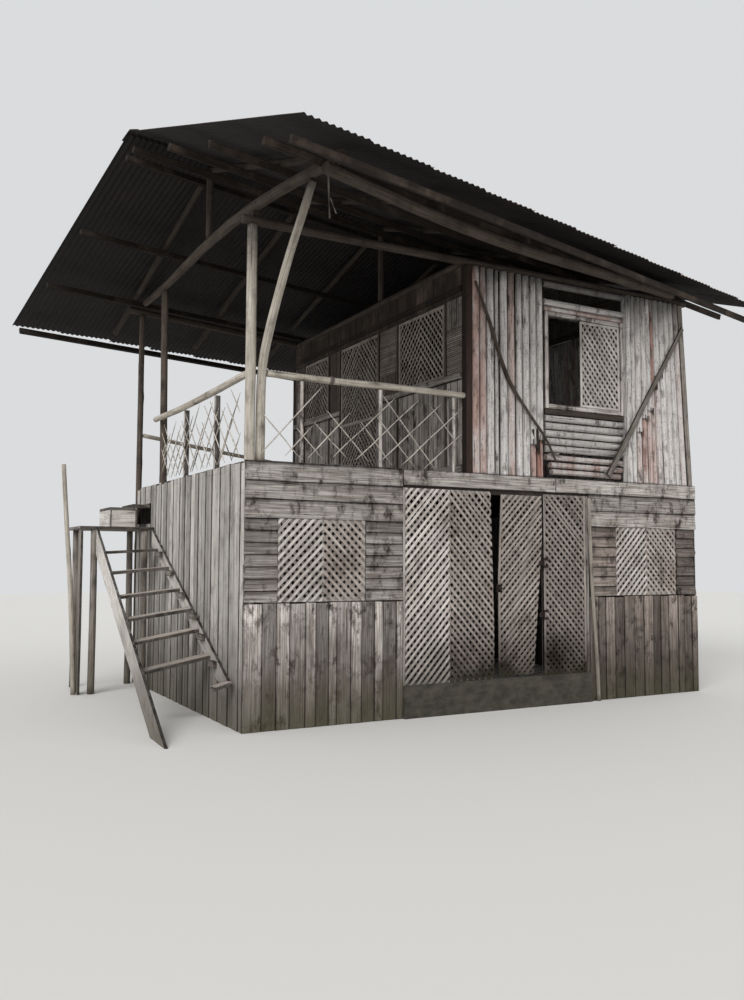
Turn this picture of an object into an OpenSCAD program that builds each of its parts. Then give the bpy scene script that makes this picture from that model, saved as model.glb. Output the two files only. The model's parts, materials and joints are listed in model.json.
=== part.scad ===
// A two-storey timber and bamboo house with an open veranda over a boarded ground floor.
// The origin is the centre of the front left post's foot. X runs along the front, Y to the rear.

/* [Plan] */
// Width of the front over the boards
front_w = 6535; // [6200:5:7000]
// Length of the left side over the boards
side_len = 4450; // [4300:5:4600]
// Distance from the left face of the boards to the room's side wall
room_x = 2761; // [2600:1:2900]
// Turn of the ridge and of the rear wall from the front, in degrees
ridge_turn = 13.9; // [12:0.1:15]

/* [Levels] */
// Height of the front yard above the lowest foot
yard_rise = 420; // [300:5:600]
// Height of the deck above the front yard
deck_h = 2350; // [2250:5:2500]
// Height of the top of the wall plates above the deck
plate_h = 2600; // [2550:5:2640]
// Height of the sheet ridge above the deck
ridge_h = 3770; // [3740:5:3850]

/* [Posts and floor] */
// Diameter of the front left veranda post
post_d = 120; // [100:1:140]
// Diameter of the middle veranda post
mid_post_d = 100; // [80:1:120]
// Diameter of the rear veranda post
rear_post_d = 85; // [70:1:95]
// Distance from the front left post to the middle veranda post
mid_post_y = 3184; // [3000:1:3250]
// Width of the squared posts
square_post = 90; // [70:1:100]
// Thickness of the deck boards
deck_t = 30; // [20:1:45]
// Height of the beams under the deck
beam_h = 120; // [100:1:150]
// Width of the beams under the deck
beam_w = 80; // [60:1:88]
// Number of joists across the deck
joist_count = 9; // [6:1:12]
// Diameter of the joists
joist_d = 90; // [70:1:100]

/* [Ground floor walls] */
// Thickness of the wall boards
clad_t = 24; // [18:1:30]
// Step of one board over the next
lap_step = 10; // [4:1:14]
// Width of the left bay
left_bay_w = 1887; // [1800:1:1950]
// Distance from the left face to the right end of the door bay
door_bay_end = 4610; // [4550:1:4700]
// Height of the door bay's head above the yard
head_h = 2143; // [2050:1:2160]
// Distance from the left face to the left window
left_win_x = 380; // [300:1:450]
// Width of the left window
left_win_w = 1029; // [900:1:1100]
// Distance from the left face to the right window
right_win_x = 5075; // [4980:1:5150]
// Width of the right window
right_win_w = 1070; // [950:1:1120]
// Height of the window sills above the yard
low_sill_h = 886; // [800:1:950]
// Height of the ground floor windows
low_win_h = 874; // [800:1:920]
// Short boards beside each ground floor window
short_boards = 7; // [5:1:9]
// Width of one vertical board
board_w = 140; // [110:1:180]
// Height of the edge board over the door bay
fascia_h = 178; // [150:1:200]

/* [Lattice] */
// Width of one lath
lath_w = 28; // [18:1:36]
// Distance between lath centres
lath_pitch = 118; // [90:1:150]
// Thickness of a lattice sheet
lattice_t = 14; // [10:1:18]
// Width of a lattice sheet's edge strip
edge_w = 32; // [24:1:45]

/* [Door] */
// Width of the hinged leaf
leaf_w = 675; // [600:1:690]
// Width of the fixed sheet beside the hinges
right_sheet_w = 667; // [600:1:690]
// Width of the upright strip between that sheet and the right bay
strip_w = 52; // [30:1:80]
// Gap between the leaf and the fixed sheet beside its hinges
hinge_gap = 14; // [12:1:20]
// Gap between the leaf and the fixed sheets on its free side
free_gap = 60; // [20:1:80]
// Gap under and over the leaf
leaf_gap = 25; // [12:1:45]
// Diameter of the hinge pins
pin_d = 10; // [8:1:12]
// Height of one hinge knuckle
knuckle_h = 60; // [40:1:80]
// Length of the hinge straps
strap_l = 70; // [50:1:90]

/* [Room walls] */
// Diameter of the bamboo poles
bamboo_d = 88; // [70:1:90]
// Gap between bamboo poles
bamboo_gap = 4; // [2:1:10]
// Distance from the left face to the front window
front_win_x = 3930; // [3850:1:4000]
// Width of the front window over its frame
front_win_w = 1325; // [1250:1:1400]
// Height of the front window's sill above the deck
front_sill_h = 870; // [800:1:920]
// Height of the front window over its frame
front_win_h = 1230; // [1180:1:1300]
// Width of the window frame's timbers
frame_w = 60; // [45:1:70]
// Part of the front window that its sash covers
sash_part = 0.56; // [0.5:0.01:0.65]
// Lean of the right wall's top towards the room
wall_lean = 140; // [0:5:160]
// Diameter of the leaning poles' tops
bamboo_top_d = 76; // [70:1:88]
// Thickness of the woven side wall
mat_t = 18; // [12:1:26]
// Height of the board band at the top of the side wall
band_h = 360; // [300:1:400]

/* [Stair] */
// Height of the landing above the yard
landing_h = 1760; // [1700:5:1850]
// Clear distance between the stringers
stair_w = 695; // [640:5:760]
// Height of each tread that is left, at its inner end above the yard
tread_heights = [284, 543, 762, 978, 1236, 1470];
// Distance of each tread's nosing from the front
tread_places = [640, 1040, 1330, 1810, 2300, 2820];
// Drop of the lowest tread's outer end
tread_drop = 147; // [0:1:160]
// Distance from the front to the landing
landing_y = 3400; // [3350:5:3450]
// Depth of the landing
landing_len = 930; // [850:5:950]
// Width of the landing from the side wall
landing_w = 980; // [940:5:1010]
// Distance that the inner stringer runs from the landing to the yard
stair_run = 3260; // [3200:5:3300]
// Depth of one tread
tread_d = 240; // [200:5:280]
// Thickness of one tread
tread_t = 38; // [25:1:45]
// Thickness of the stringers
stringer_t = 34; // [24:1:50]
// Depth of the inner stringer
stringer_d = 180; // [100:5:220]
// Depth of the outer stringer
outer_stringer_d = 290; // [200:5:320]
// Diameter of the landing's posts
landing_post_d = 92; // [60:1:100]
// Height of the opening through the side wall at the landing
hatch_h = 270; // [200:5:300]
// Length of the opening through the side wall at the landing
hatch_w = 680; // [500:5:700]

/* [Railing] */
// Height of the front rail's axis above the deck
rail_h = 930; // [880:1:980]
// Diameter of the rail poles
rail_d = 76; // [60:1:84]
// Height of the rear rail above the deck
rear_rail_h = 780; // [700:1:850]
// Width of the small squared rail posts
rail_post = 58; // [40:1:70]
// Thickness of the split bamboo sticks
stick = 14; // [10:1:18]
// Distance between the sticks
stick_pitch = 235; // [200:5:280]
// Height of the stick lattice
stick_h = 600; // [500:5:700]

/* [Roof] */
// Distance of the ridge's left end to the left of the origin
ridge_out = 1035; // [900:5:1150]
// Distance of the ridge's left end behind the origin
ridge_back = 1165; // [1120:5:1200]
// Pitch of the front slope, in degrees
front_pitch = 18.6; // [18.4:0.1:19]
// Pitch of the rear slope, in degrees
rear_pitch = 18.4; // [18:0.1:18.8]
// Length of the front sheets
front_len = 3630; // [3550:5:3700]
// Length of the rear sheets
rear_len = 4290; // [4200:5:4400]
// Skew of the sheets to the fall of the slope, in degrees
sheet_skew = 3.9; // [0:0.1:5]
// Number of sheets along each slope
sheets = 11; // [10:1:12]
// Corrugations that one sheet covers
waves = 10; // [8:1:10]
// Width of one corrugation
wave_w = 76; // [72:1:80]
// Depth of the corrugations
wave_d = 18; // [14:1:22]
// Thickness of the sheet metal
sheet_t = 2; // [1:0.5:3]
// Height of the purlins
purlin_h = 75; // [65:1:85]
// Width of the purlins
purlin_w = 50; // [40:1:60]
// Diameter of the rafters
rafter_d = 85; // [70:1:90]
// Skew of the rafters to the fall of the slope, in degrees
rafter_skew = 9.2; // [8:0.1:10]
// Distance along the ridge to the first rafter
rafter_first = 1060; // [1000:5:1100]
// Distance along the ridge between rafters
rafter_pitch = 1400; // [1350:5:1420]
// Distance along the ridge to the rafter over the right wall
rafter_last = 7560; // [7400:5:7700]
// Diameter of the tie beams
tie_d = 116; // [100:1:124]
// Diameter of the front outer beam
outer_d = 120; // [100:1:130]
// Distance from the ridge to the outer beam in plan
outer_n = 2950; // [2900:5:3000]
// Sag of the outer beam
outer_sag = 78; // [0:5:150]
// Rise of the outer beam's crooked right end
outer_rise = 62; // [0:1:80]
// Diameter of the wall plates
plate_d = 100; // [80:1:110]
// Diameter of the king posts
king_d = 85; // [70:1:95]

/* [Hidden] */

// Running clearance of a seat
seat = 0.3;
// Sides of a natural pole
pole_sides = 12;
$fn = 40;

weathered = "#8f8a82";
grey_board = "#a19b91";
dark_board = "#5d534b";
bamboo_grey = "#b5aca0";
pole_colour = "#b3a894";
rusted = "#4a3a35";
concrete = "#8d8b85";

post_r = post_d / 2;
corner = post_r + seat + clad_t;
deck_z = yard_rise + deck_h;
under_deck = deck_z - deck_t - seat;
joist_z = under_deck - joist_d / 2;
beam_z = joist_z - joist_d / 2 - seat - beam_h;
plate_z = deck_z + plate_h - plate_d / 2;
ridge_z = deck_z + ridge_h;
left_x = -corner;
front_y = -corner;
right_x = left_x + front_w;
rear_left_y = front_y + side_len;
inner_y = front_y + clad_t + seat;
inner_right = right_x - clad_t - seat;
room_left = left_x + room_x;
pole_step = bamboo_d + bamboo_gap;
wall_pole_h = plate_h - plate_d - 2 * seat;

// Line of the rear wall's outer face: Y at a place along the front
function rear_y(x) = rear_left_y + tan(ridge_turn) * (x - left_x);

// A point on the plan of the roof: along the ridge, and across it towards the rear
function roof_xy(s, n) = [-ridge_out + s * cos(ridge_turn) - n * sin(ridge_turn),
                          ridge_back + s * sin(ridge_turn) + n * cos(ridge_turn)];

function unit(v) = v / norm(v);
function along(pts, i) = unit(pts[min(i + 1, len(pts) - 1)] - pts[max(i - 1, 0)]);
function mix(a, b, t) = a + (b - a) * t;

// A natural pole through the given points, with its own radius at each
module bent_pole(pts, radii) {
    n = len(pts);
    rings = [for (i = [0 : n - 1])
        let (t = along(pts, i),
             side = unit(cross(abs(t[2]) > 0.8 ? [0, 1, 0] : [0, 0, 1], t)),
             up = cross(t, side))
        for (k = [0 : pole_sides - 1])
            let (a = 360 / pole_sides * k)
            pts[i] + radii[i] * (cos(a) * up + sin(a) * side)];
    walls = [for (i = [0 : n - 2]) for (k = [0 : pole_sides - 1])
        let (a = i * pole_sides + k, b = i * pole_sides + (k + 1) % pole_sides)
        each [[a, b, a + pole_sides], [b, b + pole_sides, a + pole_sides]]];
    ends = [[for (k = [0 : pole_sides - 1]) pole_sides - 1 - k],
            [for (k = [0 : pole_sides - 1]) (n - 1) * pole_sides + k]];
    polyhedron(rings, concat(walls, ends));
}

// A round bar from one point to another
module bar(a, b, d) {
    v = b - a;
    translate(a) rotate([0, acos(v[2] / norm(v)), atan2(v[1], v[0])]) cylinder(h = norm(v), d = d);
}

// A row of vertical boards along X, every other one set back, standing on z = 0
module upright_boards(length, height, pitch) {
    count = max(1, round(length / pitch));
    w = length / count;
    linear_extrude(height) polygon(concat(
        [for (i = [0 : count - 1]) each let (y = i % 2 == 0 ? 0 : lap_step)
            [[i * w, y], [(i + 1) * w, y]]],
        [[length, clad_t], [0, clad_t]]));
}

// Lapped boards along X in one extrusion, with the height of each from the bottom up
module lapped_boards(length, heights) {
    n = len(heights);
    z = [for (i = 0, s = 0; i <= n; s = s + (i < n ? heights[i] : 0), i = i + 1) s];
    rotate([90, 0, 90]) linear_extrude(length) polygon(concat(
        [[clad_t, z[n]], [clad_t, 0]], [for (i = [0 : n - 1]) each [[0, z[i]], [lap_step, z[i + 1]]]]));
}

// Diamond lattice in the plane of X and Z, with an edge strip on all sides and half holes along it
module lattice(w, h) {
    iw = w / 2 - edge_w;
    ih = h / 2 - edge_w;
    nx = max(1, round(iw * sqrt(2) / lath_pitch));
    nz = max(1, round(ih * sqrt(2) / lath_pitch));
    hole = 1 - lath_w / lath_pitch;
    translate([0, lattice_t, 0]) rotate([90, 0, 0]) linear_extrude(lattice_t) difference() {
        square([w, h]);
        for (i = [-nx : nx], j = [-nz : nz]) if ((i + j + nx + nz) % 2 == 1)
            translate([w / 2 + i * iw / nx, h / 2 + j * ih / nz]) polygon(
                [for (p = [[1, 0], [0, 1], [-1, 0], [0, -1]]) if (abs(i + p[0]) <= nx && abs(j + p[1]) <= nz)
                    [p[0] * hole * iw / nx, p[1] * hole * ih / nz]]);
    }
}

// The rear wall's own frame: X along its outer face from the left end, Y outwards
module at_rear() {
    translate([left_x, rear_left_y, 0]) rotate([0, 0, ridge_turn]) children();
}
rear_w = front_w / cos(ridge_turn);

// The slopes' own frames: X along the ridge, Y up to the ridge or away from it, Z square to the sheets
module on_front() {
    translate([-ridge_out, ridge_back, ridge_z]) rotate([0, 0, ridge_turn])
        rotate([front_pitch, 0, 0]) children();
}
module on_rear() {
    translate([-ridge_out, ridge_back, ridge_z]) rotate([0, 0, ridge_turn])
        rotate([-rear_pitch, 0, 0]) children();
}

// Depth of the rafters' axes and undersides below the sheets, square to the slope
rafter_axis = purlin_h + rafter_d / 2 + 2 * seat;
rafter_under = purlin_h + rafter_d + 2 * seat;
function front_under(n) = ridge_z - n * tan(front_pitch) - rafter_under / cos(front_pitch);
function rear_under(n) = ridge_z - n * tan(rear_pitch) - rafter_under / cos(rear_pitch);
// Shift of a rafter along the ridge for each millimetre of plan away from it
rafter_lean = tan(rafter_skew) / cos(front_pitch);
function rafter_s(i) = i < 5 ? rafter_first + i * rafter_pitch : rafter_last;

// The outer beam lies a hand under the rafters at its left end and level with the plate at its right
outer_top = front_under(outer_n) - 28;
function outer_xy(s) = roof_xy(s, -outer_n);
outer_s0 = 420;
outer_s1 = (-(plate_d + outer_d) / 2 - 20 - ridge_back + outer_n * cos(ridge_turn)) / sin(ridge_turn);
outer_kink = rafter_s(3) - outer_n * rafter_lean;
outer_stops = [outer_s0, for (i = [1 : 3]) rafter_s(i) - outer_n * rafter_lean,
               mix(outer_kink, outer_s1, 0.5), outer_s1];
function outer_z(s) = outer_top - outer_d / 2 + (s > outer_kink
    ? outer_rise * (s - outer_kink) / (outer_s1 - outer_kink)
    : -outer_sag * sin(180 * (s - outer_s0) / (outer_kink - outer_s0)));
function outer_point(s) = [outer_xy(s)[0], outer_xy(s)[1], outer_z(s)];

// The gable tie lies on the outer beam, carries the first front rafter's end and ends at the rear plate
first_rafter_n = 2580;
rear_plate_n = cos(ridge_turn) * (rear_left_y - ridge_back) - sin(ridge_turn) * (left_x + ridge_out)
    - plate_d / 2;
rear_plate_z = rear_under(rear_plate_n) - 4 - plate_d / 2;
rafter_end_z = ridge_z - first_rafter_n * tan(front_pitch) - rafter_axis / cos(front_pitch)
    - rafter_d / 2 * cos(front_pitch);
rafter_end_xy = roof_xy(rafter_first - first_rafter_n * rafter_lean,
                        -first_rafter_n + rafter_d / 2 * sin(front_pitch));
king_xy = roof_xy(rafter_first, 0);
tie_r = tie_d / 2;
outer_cross = outer_xy((200 + ridge_out - outer_n * sin(ridge_turn)) / cos(ridge_turn));
tie_end_y = rear_y(-60) - 25;
tie_z1 = outer_top + seat + tie_r;
tie_z2 = rafter_end_z - seat - tie_r;
tie_bow = 70;
tie_points = [
    [outer_cross[0] + 10, outer_cross[1] - 110, tie_z1], [outer_cross[0], outer_cross[1] + 60, tie_z1],
    [rafter_end_xy[0], rafter_end_xy[1], tie_z2], [30, 0, tie_z2 + tie_bow / 2],
    [king_xy[0], king_xy[1], tie_z2 + tie_bow], [-30, mid_post_y, tie_z2 + tie_bow / 3],
    [-55, tie_end_y, rear_plate_z + plate_d / 2 + tie_r - 11]];
tie_radii = [tie_r, tie_r, tie_r, tie_r - 1, tie_r - 4, tie_r - 8, tie_r - 12];
function tie_under(y) =
    let (i = max([for (k = [0 : len(tie_points) - 2]) if (y >= tie_points[k][1]) k]),
         a = tie_points[i], b = tie_points[i + 1], t = (y - a[1]) / (b[1] - a[1]))
    mix(a[2] - tie_radii[i], b[2] - tie_radii[i + 1], t) - 1;
function post_top(y, r) = min(tie_under(y - r), tie_under(y + r)) - seat;

plate_under = plate_z - plate_d / 2 - seat;
module front_left_post() {
    color(pole_colour) cylinder(h = plate_under, r = post_r);
}

// The middle post leans a little, and the rear one stands in the corner of the side and rear boards
mid_top_z = 5390;
function mid_post(z) = [8 - 30 * z / mid_top_z, mid_post_y + 64 * z / mid_top_z, z];
rear_post_x = -55;
rear_post_y = rear_y(rear_post_x) - plate_d / 2 / cos(ridge_turn) - 3;
module veranda_posts() {
    r = mid_post_d / 2;
    top = post_top(mid_post(mid_top_z)[1], r);
    color(pole_colour) {
        bent_pole([mid_post(0), mid_post(0) + [0, 0, 20],
                   mid_post(top - 20), mid_post(top - 20) + [0, 0, 20]],
                  [r, r, r - 3, r - 3]);
        translate([rear_post_x, rear_post_y, 0])
            cylinder(h = rear_plate_z - plate_d / 2 - seat, d = rear_post_d);
    }
}

// The leaning post stands beside the front left post and carries the tie near its front end
lean_top_y = -1120;
module leaning_post() {
    foot = [post_r + 54, 0, deck_z + 3];
    t = (lean_top_y - tie_points[1][1]) / (tie_points[2][1] - tie_points[1][1]);
    top = [mix(tie_points[1][0], tie_points[2][0], t), lean_top_y, tie_under(lean_top_y) - 22];
    knee = foot + [30, -560, 1900];
    color(pole_colour) bent_pole(
        [foot, foot + [0, -20, 880], foot + [10, -190, 1330], knee, mix(knee, top, 0.6), top],
        [50, 49, 47, 44, 41, 38]);
}

// Centres of the squared posts inside the ground floor's boards
post_in = clad_t + seat + square_post / 2;
rear_in = (post_in + square_post / 2 * sin(ridge_turn)) / cos(ridge_turn) + 2;
ground_places = [
    [left_x + left_bay_w + square_post / 2 - 40, front_y + post_in],
    [left_x + door_bay_end - square_post / 2 + 40, front_y + post_in],
    [right_x - post_in, front_y + post_in],
    [right_x - post_in, rear_y(right_x - post_in) - rear_in],
    [room_left + square_post / 2, rear_y(room_left + square_post / 2) - rear_in],
    [right_x - post_in, rear_left_y * 0.6]];

module square_posts(places, z, h) {
    for (p = places) translate([p[0] - square_post / 2, p[1] - square_post / 2, z])
        cube([square_post, square_post, h]);
}

module ground_posts() {
    color(weathered) square_posts(ground_places, 0, beam_z - seat);
}

door_sill_h = yard_rise - 60;
module door_sill() {
    color(concrete) translate([left_x + left_bay_w + seat, front_y - 40, 0])
        cube([door_bay_end - left_bay_w - seat * 2, 40 + clad_t, door_sill_h]);
}

// Front, left and right beams that carry the joists
module deck_beams() {
    color(weathered) {
        translate([post_r + seat, inner_y, beam_z]) cube([inner_right - post_r - seat, beam_w, beam_h]);
        translate([-post_r, post_r + seat, beam_z])
            cube([beam_w, mid_post(beam_z)[1] - mid_post_d / 2 - post_r - seat * 2, beam_h]);
        translate([-post_r, mid_post(deck_z)[1] + mid_post_d / 2 + seat, beam_z])
            cube([beam_w, rear_post_y - rear_post_d / 2 - mid_post(deck_z)[1] - mid_post_d / 2 - 2 * seat,
                  beam_h]);
        translate([inner_right - beam_w, inner_y + beam_w + seat, beam_z])
            cube([beam_w, rear_y(inner_right - beam_w) - rear_in - square_post / 2 - inner_y - beam_w
                  - seat * 2, beam_h]);
        at_rear() translate([rear_post_d + 180, -clad_t - seat * 2 - beam_w, beam_z])
            cube([rear_w - rear_post_d - 420, beam_w, beam_h]);
    }
}

module joists() {
    x0 = post_r + 130;
    x1 = inner_right - beam_w - 130;
    color(weathered) for (i = [0 : joist_count - 1]) let (x = mix(x0, x1, i / (joist_count - 1)))
        translate([x, inner_y, joist_z]) rotate([-90, 0, 0])
            cylinder(h = rear_y(x - joist_d / 2) - (clad_t + seat) / cos(ridge_turn) - inner_y - seat,
                     d = joist_d);
}

module deck() {
    back = (clad_t + seat) / cos(ridge_turn);
    color(weathered) translate([0, 0, deck_z - deck_t]) difference() {
        linear_extrude(deck_t) polygon([
            [left_x + clad_t + seat, inner_y], [inner_right, inner_y],
            [inner_right, rear_y(inner_right) - back],
            [left_x + clad_t + seat, rear_y(left_x + clad_t + seat) - back]]);
        for (p = [[0, 0, post_d], [mid_post(deck_z)[0], mid_post(deck_z)[1], mid_post_d + 1],
                  [rear_post_x, rear_post_y, rear_post_d]])
            translate([p[0], p[1], -1]) cylinder(h = deck_t + 2, d = p[2] + 2 * seat);
        translate([-100, -100, -1]) cube([100, 100, deck_t + 2]);
        translate([-100, rear_post_y, -1]) cube([100 + rear_post_x + 30, 200, deck_t + 2]);
    }
}

// One bay of lapped boards around its window
module bay_boards(x, w, win_x, win_w, top_heights) {
    translate([x, front_y, yard_rise + low_sill_h]) difference() {
        lapped_boards(w, concat([for (i = [1 : short_boards]) low_win_h / short_boards], top_heights));
        translate([win_x - x, -1, -1]) cube([win_w, clad_t + 2, low_win_h + 1]);
    }
}

over_window = deck_h - low_sill_h - low_win_h;
module left_bay_boards() {
    color(grey_board) bay_boards(left_x, left_bay_w, left_x + left_win_x, left_win_w,
        [for (i = [1 : 3]) over_window / 3]);
}

base_h = yard_rise + low_sill_h - seat;
module left_bay_base() {
    color(grey_board) translate([left_x, front_y, 0]) upright_boards(left_bay_w, base_h, board_w);
}

module window_lattice(x, w) {
    translate([x + seat, front_y + 6, yard_rise + low_sill_h + seat])
        lattice(w - 2 * seat, low_win_h - 2 * seat);
}

module left_lattice() {
    color(grey_board) window_lattice(left_x + left_win_x, left_win_w);
}

right_bay_w = front_w - door_bay_end;
module right_bay_boards() {
    color(grey_board) bay_boards(left_x + door_bay_end, right_bay_w, left_x + right_win_x, right_win_w,
        [for (i = [1 : 2]) (over_window - fascia_h - seat) / 2]);
}

module right_bay_base() {
    color(grey_board) translate([left_x + door_bay_end, front_y, 0])
        upright_boards(right_bay_w, base_h, board_w);
}

module right_lattice() {
    color(grey_board) window_lattice(left_x + right_win_x, right_win_w);
}

side_end = rear_post_y - rear_post_d / 2 - 3;
module side_boards() {
    w = side_end - inner_y;
    color(grey_board) difference() {
        translate([left_x, side_end, 0]) rotate([0, 0, -90]) upright_boards(w, deck_z, 128);
        translate([left_x - 1, side_end - hatch_w - 40, landing_z + 60])
            cube([clad_t + 2, hatch_w, hatch_h]);
    }
}

module right_side_boards() {
    w = rear_y(right_x) - inner_y - clad_t / cos(ridge_turn) - clad_t * tan(ridge_turn) - seat;
    color(grey_board) translate([right_x, inner_y, 0]) rotate([0, 0, 90])
        upright_boards(w, deck_z, board_w);
}

module rear_boards() {
    start = (rear_post_x + rear_post_d / 2 + 6 - left_x) / cos(ridge_turn);
    color(grey_board) at_rear() translate([rear_w, 0, 0]) rotate([0, 0, 180])
        upright_boards(rear_w - start, deck_z, board_w);
}

module front_fascia() {
    color(grey_board) translate([left_x + left_bay_w + seat, front_y, deck_z - fascia_h])
        cube([front_w - left_bay_w - seat, clad_t, fascia_h]);
}

door_z = door_sill_h + seat;
door_h = min(yard_rise + head_h, deck_z - fascia_h) - door_z - seat;
lattice_y = front_y + clad_t - lattice_t - seat;
hinge_x = left_x + door_bay_end - strip_w - right_sheet_w - hinge_gap / 2;
left_sheet_w = (hinge_x - hinge_gap / 2 - leaf_w - free_gap - left_x - left_bay_w - 3 * seat) / 2;
module door_lattice_left() {
    color(grey_board) for (i = [0 : 1])
        translate([left_x + left_bay_w + seat + i * (left_sheet_w + seat), lattice_y, door_z])
            lattice(left_sheet_w, door_h);
}

module door_lattice_right() {
    color(grey_board) translate([hinge_x + hinge_gap / 2, lattice_y, door_z])
        lattice(right_sheet_w - seat, door_h);
}

// A strip closes the bay on the right, and a slim pole leans on it from the yard
module door_strip() {
    color(grey_board) translate([hinge_x + hinge_gap / 2 + right_sheet_w, front_y, door_z])
        cube([strip_w - seat, clad_t, door_h]);
}

module door_prop() {
    y = front_y - 26;
    x = left_x + door_bay_end;
    color(pole_colour) bent_pole(
        [[x + 110, y, 2], [x + 88, y, yard_rise + 100], [x + 18, y, yard_rise + 1100],
         [x - 22, y, yard_rise + head_h - 30]], [25, 24, 23, 22]);
}

// The pins stand in front of the sheets, so that the leaf swings out clear of its frame
pin_r = pin_d / 2;
knuckle_r = pin_r + 5;
hinge_y = lattice_y - knuckle_r;
hinge_heights = [yard_rise + 640, yard_rise + 1270];
module strap(side, h) {
    translate([side > 0 ? 0 : -strap_l, knuckle_r - 4 - seat, 0]) cube([strap_l, 4, h]);
}

module door_leaf() {
    color(grey_board) translate([hinge_x - hinge_gap / 2 - leaf_w, lattice_y, door_z + leaf_gap])
        lattice(leaf_w, door_h - 2 * leaf_gap);
    color(rusted) for (z = hinge_heights) translate([hinge_x, hinge_y, z]) difference() {
        union() {
            cylinder(h = knuckle_h, r = knuckle_r);
            strap(-1, knuckle_h);
        }
        translate([0, 0, -1]) cylinder(h = knuckle_h + 2, r = pin_r + 0.05);
    }
}

module door_hinges() {
    color(rusted) for (z = hinge_heights) translate([hinge_x, hinge_y, z]) {
        translate([0, 0, -knuckle_h / 2]) cylinder(h = 2 * knuckle_h, r = pin_r);
        for (k = [-knuckle_h / 2 - seat, knuckle_h + seat]) translate([0, 0, k]) {
            cylinder(h = knuckle_h / 2, r = knuckle_r);
            strap(1, knuckle_h / 2);
        }
    }
}

stair_slope = landing_h / stair_run;
outer_slope = 0.5706;
inner_string_x = left_x - seat - stringer_t;
outer_string_x = inner_string_x - stair_w - stringer_t;
landing_z = yard_rise + landing_h;
landing_front = front_y + landing_y;
inner_foot_z = yard_rise + 30;

// A stringer in profile, cut off level at its foot and plumb at the landing
module stringer(foot_z, depth, slope) {
    top = landing_z - tread_t - seat;
    drop = depth * sqrt(1 + slope * slope);
    y_foot = landing_front - (top - foot_z) / slope;
    rotate([90, 0, 90]) linear_extrude(stringer_t)
        polygon([[landing_front, top], [y_foot, foot_z],
                 [y_foot + drop / slope, foot_z], [landing_front, top - drop]]);
}

// The outer stringer's foot stands further out than its top
outer_splay = 100;
splay_angle = atan(outer_splay / stair_run);
module stair_stringers() {
    color(weathered) {
        translate([inner_string_x, 0, 0]) stringer(inner_foot_z, stringer_d, stair_slope);
        translate([outer_string_x, landing_front, 0]) rotate([0, 0, -splay_angle])
            translate([0, -landing_front, 0]) stringer(0, outer_stringer_d, outer_slope);
    }
}

// Treads sloped down to the outer stringer, on cleats at the inner one
cleat_w = 42;
cleat_h = 70;
function tread_y(i) = front_y + tread_places[i];
function tread_run(y) = inner_string_x - outer_string_x - stringer_t / cos(splay_angle) - 6
    + outer_splay * (landing_front - y) / stair_run;
function tread_fall(i) = tread_drop * (1 - i / 7) / tread_run(tread_y(i));
module stair_cleats() {
    color(weathered) for (i = [0 : len(tread_heights) - 1])
        translate([inner_string_x - cleat_w - seat, tread_y(i) + 30,
                   yard_rise + tread_heights[i] - tread_t * 1.02 - tread_fall(i) * (cleat_w + 1)
                   - seat - cleat_h])
            cube([cleat_w, 180, cleat_h]);
}

module stair_treads() {
    color(weathered) for (i = [0 : len(tread_heights) - 1]) let (y = tread_y(i))
        translate([inner_string_x - seat - 2 - tread_t * tread_fall(i), y, yard_rise + tread_heights[i]])
            rotate([0, -atan(tread_fall(i)), 0]) translate([0, 0, -tread_t]) linear_extrude(tread_t)
                polygon([[0, 0], [0, tread_d], [-tread_run(y + tread_d), tread_d], [-tread_run(y), 0]]);
}

// The landing reaches past its outer posts
landing_x = left_x - seat - landing_w;
landing_lip = 60;
module landing() {
    color(weathered) translate([landing_x, landing_front + seat, landing_z - tread_t])
        cube([landing_w, landing_len, tread_t]);
}

landing_places = [[landing_x + landing_lip + 140, landing_front + 60],
                  [left_x - 120, landing_front + 60],
                  [landing_x + landing_lip + 60, landing_front + landing_len - 70],
                  [left_x - 120, landing_front + landing_len - 70]];
module landing_posts() {
    color(pole_colour) for (p = landing_places)
        translate([p[0], p[1], 0]) cylinder(h = landing_z - tread_t - seat, d = landing_post_d);
}

// A wide weathered plank and a tall leaning pole at the landing's outer side
plank_w = 190;
plank_t = 32;
tall_h = 2560;
module landing_plank() {
    color(weathered) translate([landing_x + landing_lip - plank_t - 2, landing_front + 20, 0])
        cube([plank_t, plank_w, landing_z - 60]);
}

module tall_pole() {
    x = landing_x + landing_lip - 2 * plank_t - 6;
    y = landing_front + plank_w / 2 + 5;
    color(pole_colour) bent_pole([[x, y, 2], [x - 60, y, 0.4 * (yard_rise + tall_h)],
                                  [x - 190, y, yard_rise + tall_h]], [33, 31, 28]);
}

// A box step that stands off the wall, and a board from its top to the opening
box_w = 370;
box_h = 270;
box_gap = 170;
module upper_steps() {
    color(weathered) translate([left_x - seat, landing_front + 260, landing_z + seat]) {
        translate([-box_gap - box_w, 0, 0]) cube([box_w, landing_len - 290, box_h]);
        translate([-box_gap - 60, 0, box_h + seat]) cube([box_gap + 60, landing_len - 290, 50]);
    }
}

lean_angle = atan(wall_lean / wall_pole_h);
left_room_places = [[room_left + square_post / 2, front_y + post_in],
    [room_left + square_post / 2, rear_y(room_left + square_post / 2) - rear_in]];
right_room_places = [[right_x - post_in, front_y + post_in],
    [right_x - post_in, rear_y(right_x - post_in) - rear_in]];
module room_posts() {
    sink = square_post * sin(lean_angle);
    color(dark_board) {
        square_posts(left_room_places, deck_z + seat, wall_pole_h);
        for (p = right_room_places)
            translate([p[0] + square_post / 2, p[1] - square_post / 2, deck_z + seat + sink])
                rotate([0, -lean_angle, 0]) translate([-square_post, 0, 0])
                    cube([square_post, square_post, (wall_pole_h - sink - 1) / cos(lean_angle)]);
    }
}

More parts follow.
